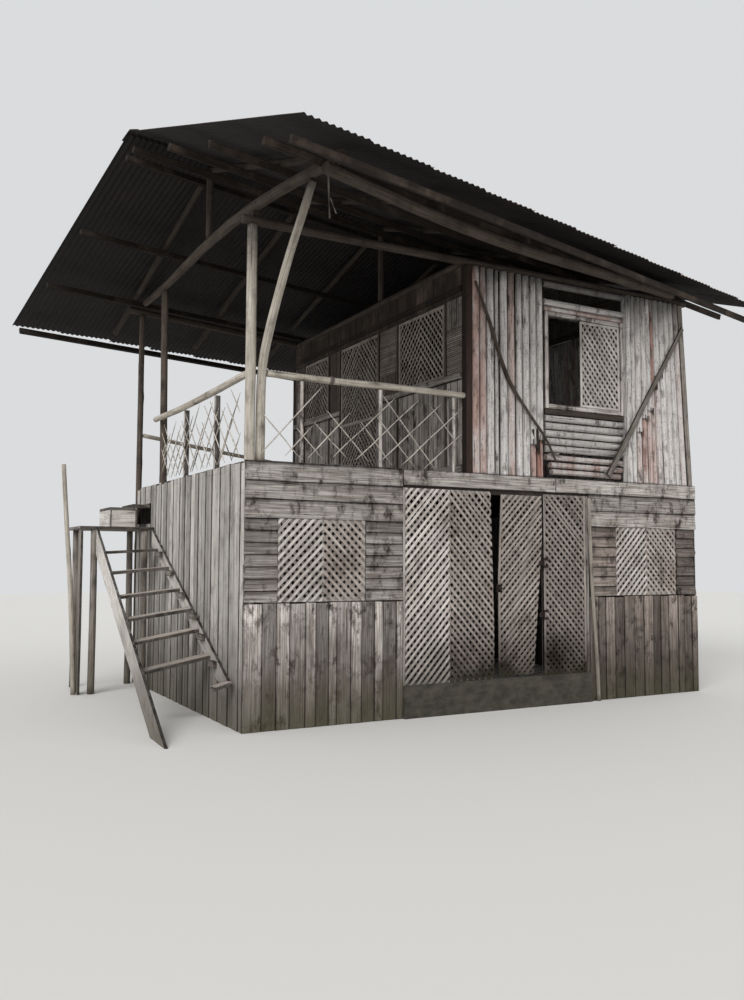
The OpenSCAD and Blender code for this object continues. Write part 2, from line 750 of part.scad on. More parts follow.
// Upright poles that fill a stretch of wall from a to b, leaning towards -X by the given amounts
module pole_row(a, b, z, h, lean_a = 0, lean_b = 0) {
    count = floor(norm(b - a) / pole_step);
    for (i = [0 : count - 1])
        let (t = (i + 0.5) / count, p = mix(a, b, t), lean = atan(mix(lean_a, lean_b, t) / h))
        translate([p[0], p[1], z + bamboo_d / 2 * sin(lean)]) rotate([0, -lean, 0])
            cylinder(h = (h - bamboo_d * sin(lean)) / cos(lean), d1 = bamboo_d,
                     d2 = lean_b > lean_a ? bamboo_top_d : bamboo_d);
}

front_pole_y = front_y + bamboo_d / 2;
win_l = left_x + front_win_x;
win_r = win_l + front_win_w;
module front_bamboo_left() {
    color(bamboo_grey) pole_row([room_left + square_post + bamboo_gap, front_pole_y],
        [win_l, front_pole_y], deck_z + seat, wall_pole_h);
}

module front_bamboo_right() {
    color(bamboo_grey) pole_row([win_r, front_pole_y],
        [right_x - post_in - square_post / 2 - bamboo_gap, front_pole_y],
        deck_z + seat, wall_pole_h, 0, wall_lean);
}

// Level poles and a sill board under the front window, and level poles over it
apron_step = 96;
module window_poles() {
    w = front_win_w - 2 * bamboo_gap;
    top = deck_z + front_sill_h + front_win_h;
    color(bamboo_grey) translate([win_l + bamboo_gap, front_pole_y, 0]) {
        translate([0, -30, deck_z + front_sill_h - 72 - seat]) cube([w, 60, 72]);
        for (i = [0 : 4]) translate([0, 0, deck_z + front_sill_h - 72 - 46 - i * apron_step - 2 * seat])
            rotate([0, 90, 0]) cylinder(h = w, d = 90 - 2);
        for (i = [0 : 1]) translate([40 * i, 0, deck_z + 200 - 128 * i]) rotate([0, 90, 0])
            cylinder(h = w - 150 * i, d = 84);
        translate([0, 0, top + 37]) rotate([0, 90, 0]) cylinder(h = w, d = 70);
        translate([0, 0, top + 37 + 37 + 46]) rotate([0, 90, 0]) cylinder(h = w, d = 88);
        translate([0, 0, plate_z - plate_d / 2 - 46]) rotate([0, 90, 0]) cylinder(h = w, d = 88);
    }
}

module front_window_frame() {
    color(grey_board) translate([win_l + bamboo_gap, front_y, deck_z + front_sill_h]) difference() {
        cube([front_win_w - 2 * bamboo_gap, bamboo_d, front_win_h]);
        translate([frame_w, -1, frame_w])
            cube([front_win_w - 2 * (bamboo_gap + frame_w), bamboo_d + 2, front_win_h - 2 * frame_w]);
    }
}

module front_window_sash() {
    w = sash_part * (front_win_w - 2 * (bamboo_gap + frame_w));
    color(grey_board) translate([win_r - bamboo_gap - frame_w - w - seat, front_y + 20,
                                 deck_z + front_sill_h + frame_w + seat])
        lattice(w, front_win_h - 2 * (frame_w + seat));
}

// Crooked and straight braces nailed over the bamboo. The crooked one's places are parts of the
// stretch left of the window and of the wall's height
crooked_places = [[0.086, 0.92], [0.48, 0.48], [0.984, 0.192], [1.112, 0.088]];
crooked_radii = [24, 26, 24, 20];
straight_top = 0.832;
straight_foot = 0.024;
module front_braces() {
    y = front_y - max(crooked_radii) - seat;
    color(weathered) {
        bent_pole([for (p = crooked_places)
                      [room_left + p[0] * (win_l - room_left), y, deck_z + p[1] * wall_pole_h]],
                  crooked_radii);
        bar([right_x - 170, y, deck_z + straight_top * wall_pole_h],
            [win_r - 330, y, deck_z + straight_foot * wall_pole_h], 50);
    }
}

// Windows and the doorway of the room's side wall: place from the front, width and sill
side_holes = [[490, 1110, 1210], [2170, 1140, 0], [3750, 850, 1210]];
side_y0 = front_y + post_in + square_post / 2 + seat;
side_y1 = rear_y(room_left + square_post / 2) - rear_in - square_post / 2 - seat;
panel_h = plate_h - plate_d - band_h - seat * 3;
side_head = panel_h - 9;
module side_wall_panel() {
    color(weathered) translate([room_left, side_y0, deck_z + seat]) difference() {
        cube([mat_t, side_y1 - side_y0, panel_h]);
        for (w = side_holes)
            translate([-1, front_y + w[0] - side_y0, w[2] - 1])
                cube([mat_t + 2, w[1], side_head - w[2] + 1]);
    }
}

module side_lattices() {
    color(grey_board) for (w = side_holes)
        translate([room_left + 2, front_y + w[0] + w[1] - seat, deck_z + w[2] + 2 * seat])
            rotate([0, 0, -90]) lattice(w[1] - 2 * seat, side_head - w[2] - 2 * seat);
}

module side_wall_band() {
    color(weathered) translate([room_left, side_y0, deck_z + seat * 2 + panel_h])
        cube([mat_t + 8, side_y1 - side_y0, band_h]);
}

module right_bamboo() {
    x = right_x - bamboo_d / 2;
    y0 = front_y + post_in + square_post / 2 + bamboo_gap;
    y1 = rear_y(right_x - post_in) - rear_in - square_post / 2 - bamboo_gap;
    color(bamboo_grey) pole_row([x, y0], [x, y1], deck_z + seat, wall_pole_h, wall_lean, wall_lean);
}

module rear_bamboo() {
    a = (room_x + square_post + 30) / cos(ridge_turn);
    b = rear_w - (post_in + square_post / 2 + 40) / cos(ridge_turn);
    color(bamboo_grey) at_rear()
        pole_row([a, -bamboo_d / 2 - clad_t], [b, -bamboo_d / 2 - clad_t], deck_z + seat,
                 rear_plate_z - plate_d / 2 - deck_z - 2 * seat - 1, 0, wall_lean);
}

plate_out = 112;
right_plate_x = right_x - post_in - wall_lean;
module wall_plates() {
    color(pole_colour) {
        translate([-plate_out, 0, plate_z]) rotate([0, 90, 0])
            cylinder(h = right_x - 60 + plate_out, d = plate_d);
        for (x = [room_left + square_post / 2, roof_xy(rafter_s(4), 0)[0], right_plate_x])
            translate([x, plate_d / 2 + seat, plate_z]) rotate([-90, 0, 0])
                cylinder(h = rear_y(x) - (bamboo_d + clad_t + 4) / cos(ridge_turn)
                             - plate_d * tan(ridge_turn) / 2 - plate_d / 2 - 2 * seat, d = plate_d);
        at_rear() translate([-190, -plate_d / 2, rear_plate_z]) rotate([0, 90, 0])
            cylinder(h = rear_w + 300, d = plate_d);
    }
}

module outer_beam() {
    color(pole_colour)
        bent_pole([for (s = outer_stops) outer_point(s)], [for (s = outer_stops) outer_d / 2]);
}

module tie_beams() {
    color(pole_colour) bent_pole(tie_points, tie_radii);
}

king_top = ridge_z - rafter_under / cos(front_pitch) - king_d / 2 * tan(front_pitch) - seat;
module king_posts() {
    color(pole_colour) {
        translate([king_xy[0], king_xy[1], tie_points[4][2] + tie_radii[4] + seat])
            cylinder(h = king_top - tie_points[4][2] - tie_radii[4] - seat, d = king_d);
        for (p = [[room_left + square_post / 2, roof_xy(rafter_s(2), 0)[1]], roof_xy(rafter_s(4), 0),
                  [right_plate_x, roof_xy(rafter_s(5), 0)[1]]])
            translate([p[0], p[1], plate_z + plate_d / 2 + seat])
                cylinder(h = king_top - plate_z - plate_d / 2 - seat, d = king_d);
    }
}

// Boards that close the gable over the room's right wall, nailed to the outer side of its plate
gable_t = 20;
gable_gap = 6;
// Distance of a point from the ridge in plan, negative on the front slope
function across(x, y) = (y - ridge_back) * cos(ridge_turn) - (x + ridge_out) * sin(ridge_turn);
function rear_under(n) = ridge_z - n * tan(rear_pitch) - rafter_under / cos(rear_pitch);
module right_gable() {
    x = right_plate_x + plate_d / 2 + seat;
    y0 = plate_d / 2 + gable_gap;
    y1 = rear_y(x) - plate_d / cos(ridge_turn) - gable_gap;
    peak_y = ridge_back + (x + gable_t + ridge_out) * tan(ridge_turn);
    low = plate_z - 20;
    color(weathered) translate([x, 0, 0]) rotate([90, 0, 90]) linear_extrude(gable_t)
        polygon([[y0, low], [y1, low], [y1, rear_under(across(x, y1)) - gable_gap],
                 [peak_y, rear_under(across(x, peak_y)) - gable_gap],
                 [y0, front_under(-across(x + gable_t, y0)) - gable_gap]]);
}

// A rafter's length along the slope to a distance from the ridge in plan
function rafter_len(n, pitch) = n / cos(pitch) / cos(rafter_skew);
module ridge_half(side) {
    w = 2 * ridge_h;
    translate([-ridge_out, ridge_back, ridge_z]) rotate([0, 0, ridge_turn])
        translate([0, side > 0 ? -seat : seat - w, -w / 2]) cube([2 * front_w, w, w]);
}

// Rafters that reach the outer beam, and shorter ones that end at it
rear_reach = 3660;
function front_reach(i) = i == 0 ? first_rafter_n : i < 4 ? outer_n + 90 : outer_n - outer_d / 2 - 60;
module rafters() {
    color(pole_colour) for (i = [0 : 5]) {
        difference() {
            on_front() translate([rafter_s(i), 0, -rafter_axis]) rotate([0, 0, -rafter_skew])
                rotate([90, 0, 0]) translate([0, 0, -100])
                    cylinder(h = 100 + rafter_len(front_reach(i), front_pitch), d = rafter_d);
            ridge_half(1);
        }
        difference() {
            on_rear() translate([rafter_s(i), 0, -rafter_axis]) rotate([0, 0, -rafter_skew])
                rotate([-90, 0, 0]) translate([0, 0, -100])
                    cylinder(h = 100 + rafter_len(rear_reach, rear_pitch), d = rafter_d);
            ridge_half(-1);
        }
    }
}

// Blocks between the rafters and the outer beam, and between the last rafters and the wall plate
module packing_blocks() {
    w = 60;
    color(weathered) {
        for (i = [1 : 3]) let (s = outer_stops[i], z = outer_z(s) + outer_d / 2 + seat)
            translate([outer_xy(s)[0], outer_xy(s)[1], z]) rotate([0, 0, ridge_turn])
                translate([-w / 2, -w / 2, 1.2])
                    cube([w, w, front_under(outer_n + w / 2) - z - 1.2 - seat]);
        let (n = plate_cross(4), p = roof_xy(rafter_s(4) - n * rafter_lean, -n))
            translate([p[0], p[1], plate_z + plate_d / 2 + seat]) rotate([0, 0, ridge_turn])
                translate([-w / 2, -w / 2, 0])
                    cube([w, w, front_under(n + w / 2) - plate_z - plate_d / 2 - 2 * seat]);
        translate([tie_points[3][0] - w / 2, -w / 2, plate_z + plate_d / 2 + seat])
            cube([w, w, post_top(0, w / 2) - plate_z - plate_d / 2 - seat]);
    }
}
// Distance from the ridge in plan at which a rafter crosses the front wall plate
function plate_cross(i) = (ridge_back + rafter_s(i) * sin(ridge_turn))
    / (cos(ridge_turn) + rafter_lean * sin(ridge_turn));

slope_w = sheets * waves * wave_w / cos(sheet_skew);
module purlin_row(side, places, len) {
    for (t = places) let (v = t * len, x = side * v * tan(sheet_skew))
        translate([x + 20, side * v - purlin_w / 2, -purlin_h - seat])
            cube([slope_w - 40, purlin_w, purlin_h]);
}

module purlins() {
    color(weathered) {
        on_front() purlin_row(-1, [0.035, 0.30, 0.55, 0.84, 0.965], front_len);
        on_rear() purlin_row(1, [0.05, 0.39, 0.68, 0.965], rear_len);
    }
}

// One corrugated sheet from its left edge, running away from the ridge along Y
module sheet(len) {
    lower = [for (i = [0 : waves]) each [
        [i * wave_w, 0], [(i + 0.14) * wave_w, 0], [(i + 0.36) * wave_w, wave_d],
        [(i + 0.64) * wave_w, wave_d], [(i + 0.86) * wave_w, 0]]];
    n = len(lower);
    rotate([90, 0, 180]) mirror([1, 0, 0]) linear_extrude(len) polygon(concat(
        lower, [for (k = [1 : n]) lower[n - k] + [0, sheet_t]]));
}

module front_sheets() {
    color(rusted) on_front() mirror([0, 1, 0]) for (i = [0 : sheets - 1])
        translate([i * waves * wave_w / cos(sheet_skew), 0, i % 2 * (sheet_t + seat)])
            rotate([0, 0, sheet_skew]) translate([0, 8, 0]) sheet(front_len);
}

module rear_sheets() {
    start = waves * wave_w * sin(sheet_skew) + 8;
    color(rusted) on_rear() for (i = [0 : sheets - 1])
        translate([i * waves * wave_w / cos(sheet_skew), 0, i % 2 * (sheet_t + seat)])
            rotate([0, 0, -sheet_skew]) translate([0, start, 0]) sheet(rear_len);
}

module ridge_cap() {
    lap = 190;
    h = wave_d + 2 * sheet_t + 2 * seat;
    a = front_pitch;
    b = rear_pitch;
    function cap_edges(h) = [
        [-lap * cos(a) - h * sin(a), -lap * sin(a) + h * cos(a)], [0, h / cos(a)],
        [lap * cos(b) + h * sin(b), -lap * sin(b) + h * cos(b)]];
    upper = cap_edges(h + sheet_t);
    color(rusted) translate([-ridge_out, ridge_back, ridge_z]) rotate([0, 0, ridge_turn])
        rotate([90, 0, 90]) linear_extrude(slope_w)
            polygon(concat(cap_edges(h), [for (k = [2 : -1 : 0]) upper[k]]));
}

rail_z = deck_z + rail_h;
rail_r = rail_d / 2;
front_rail_end = room_left - 4;
side_rail_x = mid_post(rail_z)[0] - mid_post_d / 2 - rail_r - 2;
module rail_poles() {
    color(pole_colour) {
        bent_pole([[post_r + 110, -30, rail_z], [900, -32, rail_z - 8], [1700, -26, rail_z],
                   [front_rail_end, -20, rail_z - 6]], [rail_r, rail_r, rail_r, rail_r - 3]);
        bent_pole([[-22, post_r + 4, rail_z - 10], [-40, 1200, rail_z - 40], [-62, 2200, rail_z - 58],
                   [side_rail_x, mid_post_y, rail_z - 60], [side_rail_x, mid_post_y + 110, rail_z - 60]],
                  [rail_r, rail_r + 2, rail_r, rail_r - 1, rail_r - 2]);
        bar([rear_post_x + rear_post_d / 2 + 8, rear_post_y - 8, deck_z + rear_rail_h],
            [room_left - 13, rear_y(room_left) - rear_in, deck_z + rear_rail_h - 250], 60);
    }
}

front_rail_posts = [560, 1520, 2500];
side_rail_posts = [960, 2120];
module rail_posts() {
    w = rail_post;
    color(grey_board) {
        for (x = front_rail_posts) translate([x - w / 2, -30 - w / 2, deck_z + seat])
            cube([w, w, rail_h - rail_r - 12]);
        for (y = side_rail_posts) translate([-30 - w / 2, y - w / 2, deck_z + seat])
            cube([w, w, rail_h - rail_r - 60]);
    }
}

// Crossed split bamboo sticks over a length and height, in the plane of X and Z
module stick_lattice(length, height) {
    n = ceil((length + height) / stick_pitch);
    translate([0, stick, 0]) rotate([90, 0, 0]) linear_extrude(stick) intersection() {
        square([length, height]);
        union() for (i = [0 : n], side = [-1, 1]) let (x = i * stick_pitch - (side > 0 ? height : 0))
            if (min(length, x + (side > 0 ? height : 0)) - max(0, x - (side > 0 ? 0 : height)) > 220)
                translate([x, 0]) rotate(side * 45)
                    translate([side > 0 ? 0 : -2 * height, -stick / 2]) square([2 * height, stick]);
    }
}

module front_sticks() {
    color(bamboo_grey) translate([post_r + 120, -30 - rail_post / 2 - stick - seat, deck_z + 12])
        stick_lattice(room_left - post_r - 160, stick_h);
}

module side_sticks() {
    color(bamboo_grey) translate([-30 - rail_post / 2 - stick - seat, mid_post_y - 80, deck_z + 12])
        rotate([0, 0, -90]) stick_lattice(mid_post_y - post_r - 100, stick_h);
}

front_left_post();
veranda_posts();
leaning_post();
ground_posts();
door_sill();
deck_beams();
joists();
deck();
left_bay_boards();
left_bay_base();
left_lattice();
right_bay_boards();
right_bay_base();
right_lattice();
side_boards();
right_side_boards();
rear_boards();
front_fascia();
door_lattice_left();
door_lattice_right();
door_leaf();
door_hinges();
stair_stringers();
stair_treads();
landing();
landing_posts();
upper_steps();
room_posts();
front_bamboo_left();
front_bamboo_right();
window_poles();
front_window_frame();
front_window_sash();
front_braces();
side_wall_panel();
side_lattices();
side_wall_band();
right_bamboo();
rear_bamboo();
wall_plates();
outer_beam();
tie_beams();
king_posts();
right_gable();
rafters();
packing_blocks();
purlins();
front_sheets();
rear_sheets();
ridge_cap();
rail_poles();
rail_posts();
front_sticks();
side_sticks();
door_strip();
door_prop();
stair_cleats();
landing_plank();
tall_pole();
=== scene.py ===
import json
import math
import random

import bpy
import bmesh
from mathutils import Matrix, Vector, noise


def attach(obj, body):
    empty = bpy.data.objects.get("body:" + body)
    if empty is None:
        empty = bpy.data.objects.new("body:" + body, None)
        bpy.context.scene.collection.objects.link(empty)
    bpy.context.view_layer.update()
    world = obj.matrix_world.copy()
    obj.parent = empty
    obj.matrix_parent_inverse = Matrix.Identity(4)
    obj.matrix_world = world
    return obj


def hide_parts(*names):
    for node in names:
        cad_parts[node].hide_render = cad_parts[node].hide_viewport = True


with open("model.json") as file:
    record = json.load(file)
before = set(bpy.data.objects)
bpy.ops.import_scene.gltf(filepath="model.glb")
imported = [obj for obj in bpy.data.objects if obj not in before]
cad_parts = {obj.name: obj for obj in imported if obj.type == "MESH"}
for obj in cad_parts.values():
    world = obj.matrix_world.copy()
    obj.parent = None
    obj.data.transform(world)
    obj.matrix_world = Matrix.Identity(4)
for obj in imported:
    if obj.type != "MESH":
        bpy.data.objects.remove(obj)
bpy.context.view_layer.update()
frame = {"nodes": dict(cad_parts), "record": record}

# Directions, and the main places in metres as in the part's source
up, toFront, toRear, toLeft, toRight = (Vector(way) for way in (
    (0, 0, 1), (0, -1, 0), (0, 1, 0), (-1, 0, 0), (1, 0, 0)))
site = {"leftX": -0.0843, "frontY": -0.0843, "rightX": 6.4507, "rearLeftY": 4.3657, "width": 6.535,
        "roomLeft": 2.6767, "yard": 0.42, "deckZ": 2.77, "plateZ": 5.32, "ridgeZ": 6.54,
        "turn": math.radians(13.9), "wall": 0.024, "fit": 0.0003}
leftX, frontY, rightX, roomLeft = site["leftX"], site["frontY"], site["rightX"], site["roomLeft"]
yard, deckZ, plateZ, turn = site["yard"], site["deckZ"], site["plateZ"], site["turn"]
wall, fit = site["wall"], site["fit"]  # a boarded wall's thickness, the clearance of pieces that touch


def rearY(x):
    return site["rearLeftY"] + math.tan(turn) * (x - leftX)


# Materials

def srgb(text):
    values = [int(text[i:i + 2], 16) / 255 for i in (1, 3, 5)]
    return tuple(v / 12.92 if v <= 0.04045 else ((v + 0.055) / 1.055) ** 2.4 for v in values) + (1.0,)


def addNode(tree, kind, inputs=(), output=0, **settings):
    node = tree.nodes.new("ShaderNode" + kind)
    for key, value in settings.items():
        setattr(node, key, value)
    for socket, value in dict(inputs).items():
        if isinstance(value, bpy.types.NodeSocket):
            tree.links.new(value, node.inputs[socket])
        else:
            node.inputs[socket].default_value = value
    return node.outputs[output]


# Cloudy pattern with lumps of the given sizes in millimetres
def clouds(tree, vector, sizes, detail=4.0, rough=0.6, warp=0.0):
    mapped = addNode(tree, "Mapping", {"Vector": vector, "Scale": tuple(1000 / mm for mm in sizes)})
    return addNode(tree, "TexNoise", {"Vector": mapped, "Scale": 1.0, "Detail": detail, "Roughness": rough,
                                      "Distortion": warp}, "Fac")


# Product of patterns, each a socket, a number, or (socket, low, high, to low, to high)
def together(tree, *patterns):
    result = None
    for pattern in patterns:
        if isinstance(pattern, tuple):
            pattern = addNode(tree, "MapRange", dict(enumerate(pattern)))
        if result is None:
            result = pattern
        else:
            result = addNode(tree, "Math", {0: result, 1: pattern}, operation="MULTIPLY")
    return result


# Lays a colour over another as far as the product of the patterns says
def stain(tree, under, over, *patterns):
    return addNode(tree, "Mix", {0: together(tree, *patterns), 6: under, 7: srgb(over)}, 2, data_type="RGBA")


# Darkens or lightens a piece by its tone
def toned(tree, colour, tone, full, atZero, atFull):
    level = together(tree, (tone, 0.0, full, atZero, atFull))
    grey = addNode(tree, "CombineColor", {0: level, 1: level, 2: level})
    return addNode(tree, "Mix", {0: 1.0, 6: colour, 7: grey}, 2, data_type="RGBA", blend_type="MULTIPLY")


def startMaterial(name):
    mat = bpy.data.materials.new(name)
    mat.use_nodes = True
    tree = mat.node_tree
    tone, mark = (addNode(tree, "Attribute", output="Fac", attribute_name=key) for key in ("tone", "mark"))
    grain = addNode(tree, "UVMap", uv_map="grain")
    place = addNode(tree, "TexCoord", output="Object")
    return mat, tree, grain, place, tone, mark


def finishMaterial(mat, colour, height, depth, values, strength=0.7):
    tree = mat.node_tree
    shader = tree.nodes["Principled BSDF"]
    bump = addNode(tree, "Bump", {"Height": height, "Distance": depth, "Strength": strength})
    tree.links.new(colour, shader.inputs["Base Color"])
    tree.links.new(bump, shader.inputs["Normal"])
    for socket, value in values.items():
        shader.inputs[socket].default_value = value
    return mat


# Sawn or split timber, greyed by the weather: grain along the board, mould, cracks, soil near the ground.
# The fibres are drawn 3 mm wide, coarser than real ones, so that they show
timberSizes = {"board": ((160, 3.2, 3.2), (480, 15, 15), (1100, 55, 55), (650, 11, 11)),
               "upright": ((30, 30, 160), (60, 60, 480), (120, 120, 900), (40, 40, 650))}


def timber(name, light, mid, dark, crack=0.5, soil=0.0, mould=0.5, brown="#7a6a5e", earth="#40362d",
           cut="board"):
    mat, tree, grain, place, tone, mark = startMaterial(name)
    along = grain if cut == "board" else place
    fibres, streaks, broad, cracks = timberSizes[cut]
    fine = clouds(tree, along, fibres, 3)
    streak = clouds(tree, along, streaks, 4, 0.62, 0.3)
    bands = clouds(tree, along, broad, 4, 0.6, 0.4)
    split = clouds(tree, along, cracks, 2, 0.5, 0.8)
    patch = clouds(tree, place, (420, 420, 620), 5, 0.62)
    spots = clouds(tree, place, (120, 120, 190), 6, 0.72)
    colour = stain(tree, srgb(mid), light, (streak, 0.36, 0.62))
    colour = stain(tree, colour, mid, (bands, 0.50, 0.68, 0.0, 0.75))
    colour = stain(tree, colour, brown, (patch, 0.50, 0.72, 0.0, 0.5))
    colour = toned(tree, colour, tone, 1.0, 0.42, 1.25)
    colour = stain(tree, colour, dark, (spots, 0.50, 0.64), (patch, 0.36, 0.56, 0.25, 1.0), mould)
    crackLine = together(tree, (split, 0.30, 0.345, 1.0, 0.0))
    colour = stain(tree, colour, "#1d1815", crackLine, crack)
    if soil:
        high = addNode(tree, "SeparateXYZ", {0: place}, 2)
        for pattern, rough, low, top, amount, hue in (
                (patch, 0.3, yard - 0.05, yard + 0.75, soil, earth),
                (spots, 0.1, 0.0, yard + 0.15, soil * 0.7, "#4a4a33")):
            ragged = together(tree, (pattern, 0.3, 0.7, -rough, rough))
            edge = addNode(tree, "Math", {0: high, 1: ragged}, operation="ADD")
            colour = stain(tree, colour, hue, (edge, low, top, 1.0, 0.0), amount)
    # marks darken a piece: knots, nail heads and dirt, and painted shade along edges, under laps, on hidden
    # faces and near post tops
    colour = stain(tree, colour, "#1f1a17", mark, (spots, 0.3, 0.6, 0.7, 1.0))
    height = addNode(tree, "Math", {0: fine, 1: 0.35, 2: streak}, operation="MULTIPLY_ADD")
    height = addNode(tree, "Math", {0: crackLine, 1: -1.4, 2: height}, operation="MULTIPLY_ADD")
    return finishMaterial(mat, colour, height, 0.004, {"Roughness": 0.88, "Specular IOR Level": 0.25})


# Bamboo culms: a smooth, slightly shiny grey skin with brown-red patches, black mould and long splits
def culm(name, pale="#e0dcd9", grey="#a8a19c", red="#a0624c"):
    mat, tree, grain, place, tone, mark = startMaterial(name)
    streak = clouds(tree, grain, (600, 10, 10), 4, 0.65, 0.2)
    skin = clouds(tree, place, (70, 70, 230), 6, 0.72)
    patch = clouds(tree, place, (130, 130, 620), 4, 0.6)
    speck = clouds(tree, place, (26, 26, 40), 5, 0.75)
    split = clouds(tree, grain, (900, 16, 16), 2, 0.5, 0.5)
    colour = stain(tree, srgb(grey), pale, (streak, 0.34, 0.58))
    colour = stain(tree, colour, red, (tone, 0.5, 0.9), (patch, 0.34, 0.52))
    colour = toned(tree, colour, tone, 0.5, 0.5, 1.0)
    colour = stain(tree, colour, "#4a423d", (speck, 0.56, 0.66, 0.0, 0.65))
    colour = stain(tree, colour, "#37302c", (skin, 0.50, 0.62), (patch, 0.40, 0.60, 0.2, 1.0), 0.8)
    crackLine = together(tree, (split, 0.30, 0.335, 1.0, 0.0))
    colour = stain(tree, colour, "#241d1a", crackLine, 0.9)
    # marks darken the joints, the ends and the dirt, and paint shade on a culm that lies in shade
    colour = stain(tree, colour, "#2a2421", mark)
    height = addNode(tree, "Math", {0: crackLine, 1: -2.0, 2: streak}, operation="MULTIPLY_ADD")
    return finishMaterial(mat, colour, height, 0.003, {"Roughness": 0.7, "Specular IOR Level": 0.3})


# Corrugated sheet steel, rolled, zinc-coated and gone to dull rust; the underside is painted almost black, as
# painted shade
def rustySheet(name):
    mat, tree, grain, place, tone, mark = startMaterial(name)
    run = clouds(tree, grain, (900, 45, 45), 5, 0.65, 0.3)
    patch = clouds(tree, place, (380, 380, 380), 6, 0.65)
    grit = clouds(tree, place, (12, 12, 12), 3)
    colour = stain(tree, srgb("#33241f"), "#5b3d30", (run, 0.38, 0.62))
    colour = stain(tree, colour, "#6e4a37", (patch, 0.46, 0.68, 0.0, 0.8))
    colour = stain(tree, colour, "#77716b", (patch, 0.30, 0.42, 0.55, 0.0))
    colour = toned(tree, colour, tone, 1.0, 0.7, 1.25)
    # the underside, which the marks pick, is near black: painted shade
    under = stain(tree, srgb("#0e0a0a"), "#1c1413", (patch, 0.35, 0.65))
    colour = addNode(tree, "Mix", {0: mark, 6: colour, 7: under}, 2, data_type="RGBA")
    height = addNode(tree, "Math", {0: grit, 1: 0.4, 2: run}, operation="MULTIPLY_ADD")
    return finishMaterial(mat, colour, height, 0.002, {"Roughness": 0.82, "Metallic": 0.1})


# Mats plaited from flat bamboo strips 38 mm wide, one over and one under, with painted shade where each strip
# dips
def plaited(name, strip=38):
    mat, tree, grain, place, tone, mark = startMaterial(name)
    whole, hump = [], []
    for axis in (0, 1):
        part = addNode(tree, "SeparateXYZ", {0: grain}, axis)
        cell = addNode(tree, "Math", {0: part, 1: 1000 / strip}, operation="MULTIPLY")
        across = addNode(tree, "Math", {0: cell}, operation="FRACT")
        wave = addNode(tree, "Math", {0: together(tree, across, math.pi)}, operation="SINE")
        whole.append(addNode(tree, "Math", {0: cell}, operation="FLOOR"))
        hump.append(addNode(tree, "Math", {0: wave, 1: 0.5}, operation="POWER"))
    pair = addNode(tree, "Math", {0: whole[0], 1: whole[1]}, operation="ADD")
    half = addNode(tree, "Math", {0: together(tree, pair, 0.5)}, operation="FRACT")
    odd = addNode(tree, "Math", {0: half, 1: 0.25}, operation="GREATER_THAN")
    over = addNode(tree, "Mix", {0: odd, 2: hump[0], 3: hump[1]})
    dust = clouds(tree, grain, (140, 140, 140), 5, 0.7)
    # near black at each strip's edges, lighter over its crest: painted shade in the hollows of the weave
    colour = stain(tree, srgb("#1c1714"), "#52473f", (over, 0.15, 0.8))
    colour = stain(tree, colour, "#6a5e54", odd, 0.3)
    colour = stain(tree, colour, "#4b4038", (dust, 0.45, 0.7, 0.0, 0.55))
    return finishMaterial(mat, colour, over, 0.006, {"Roughness": 0.85}, 1.0)


# Rough site concrete, cast and worn, damp and greenish at its foot
def concrete(name):
    mat, tree, grain, place, tone, mark = startMaterial(name)
    coarse = clouds(tree, place, (160, 160, 90), 6, 0.65)
    grit = clouds(tree, place, (9, 9, 9), 3)
    colour = stain(tree, srgb("#2f2c26"), "#4d483e", (coarse, 0.38, 0.66))
    colour = stain(tree, colour, "#33352a", (grit, 0.5, 0.7, 0.0, 0.4))
    height = addNode(tree, "Math", {0: coarse, 1: grit}, operation="ADD")
    return finishMaterial(mat, colour, height, 0.004, {"Roughness": 0.92})


# Forged iron fittings, rusted to a dull dark brown
def iron(name):
    mat, tree, grain, place, tone, mark = startMaterial(name)
    grit = clouds(tree, place, (8, 8, 8), 4, 0.7)
    colour = stain(tree, srgb("#17110f"), "#33251e", (grit, 0.4, 0.62))
    return finishMaterial(mat, colour, grit, 0.001, {"Roughness": 0.8, "Metallic": 0.3})


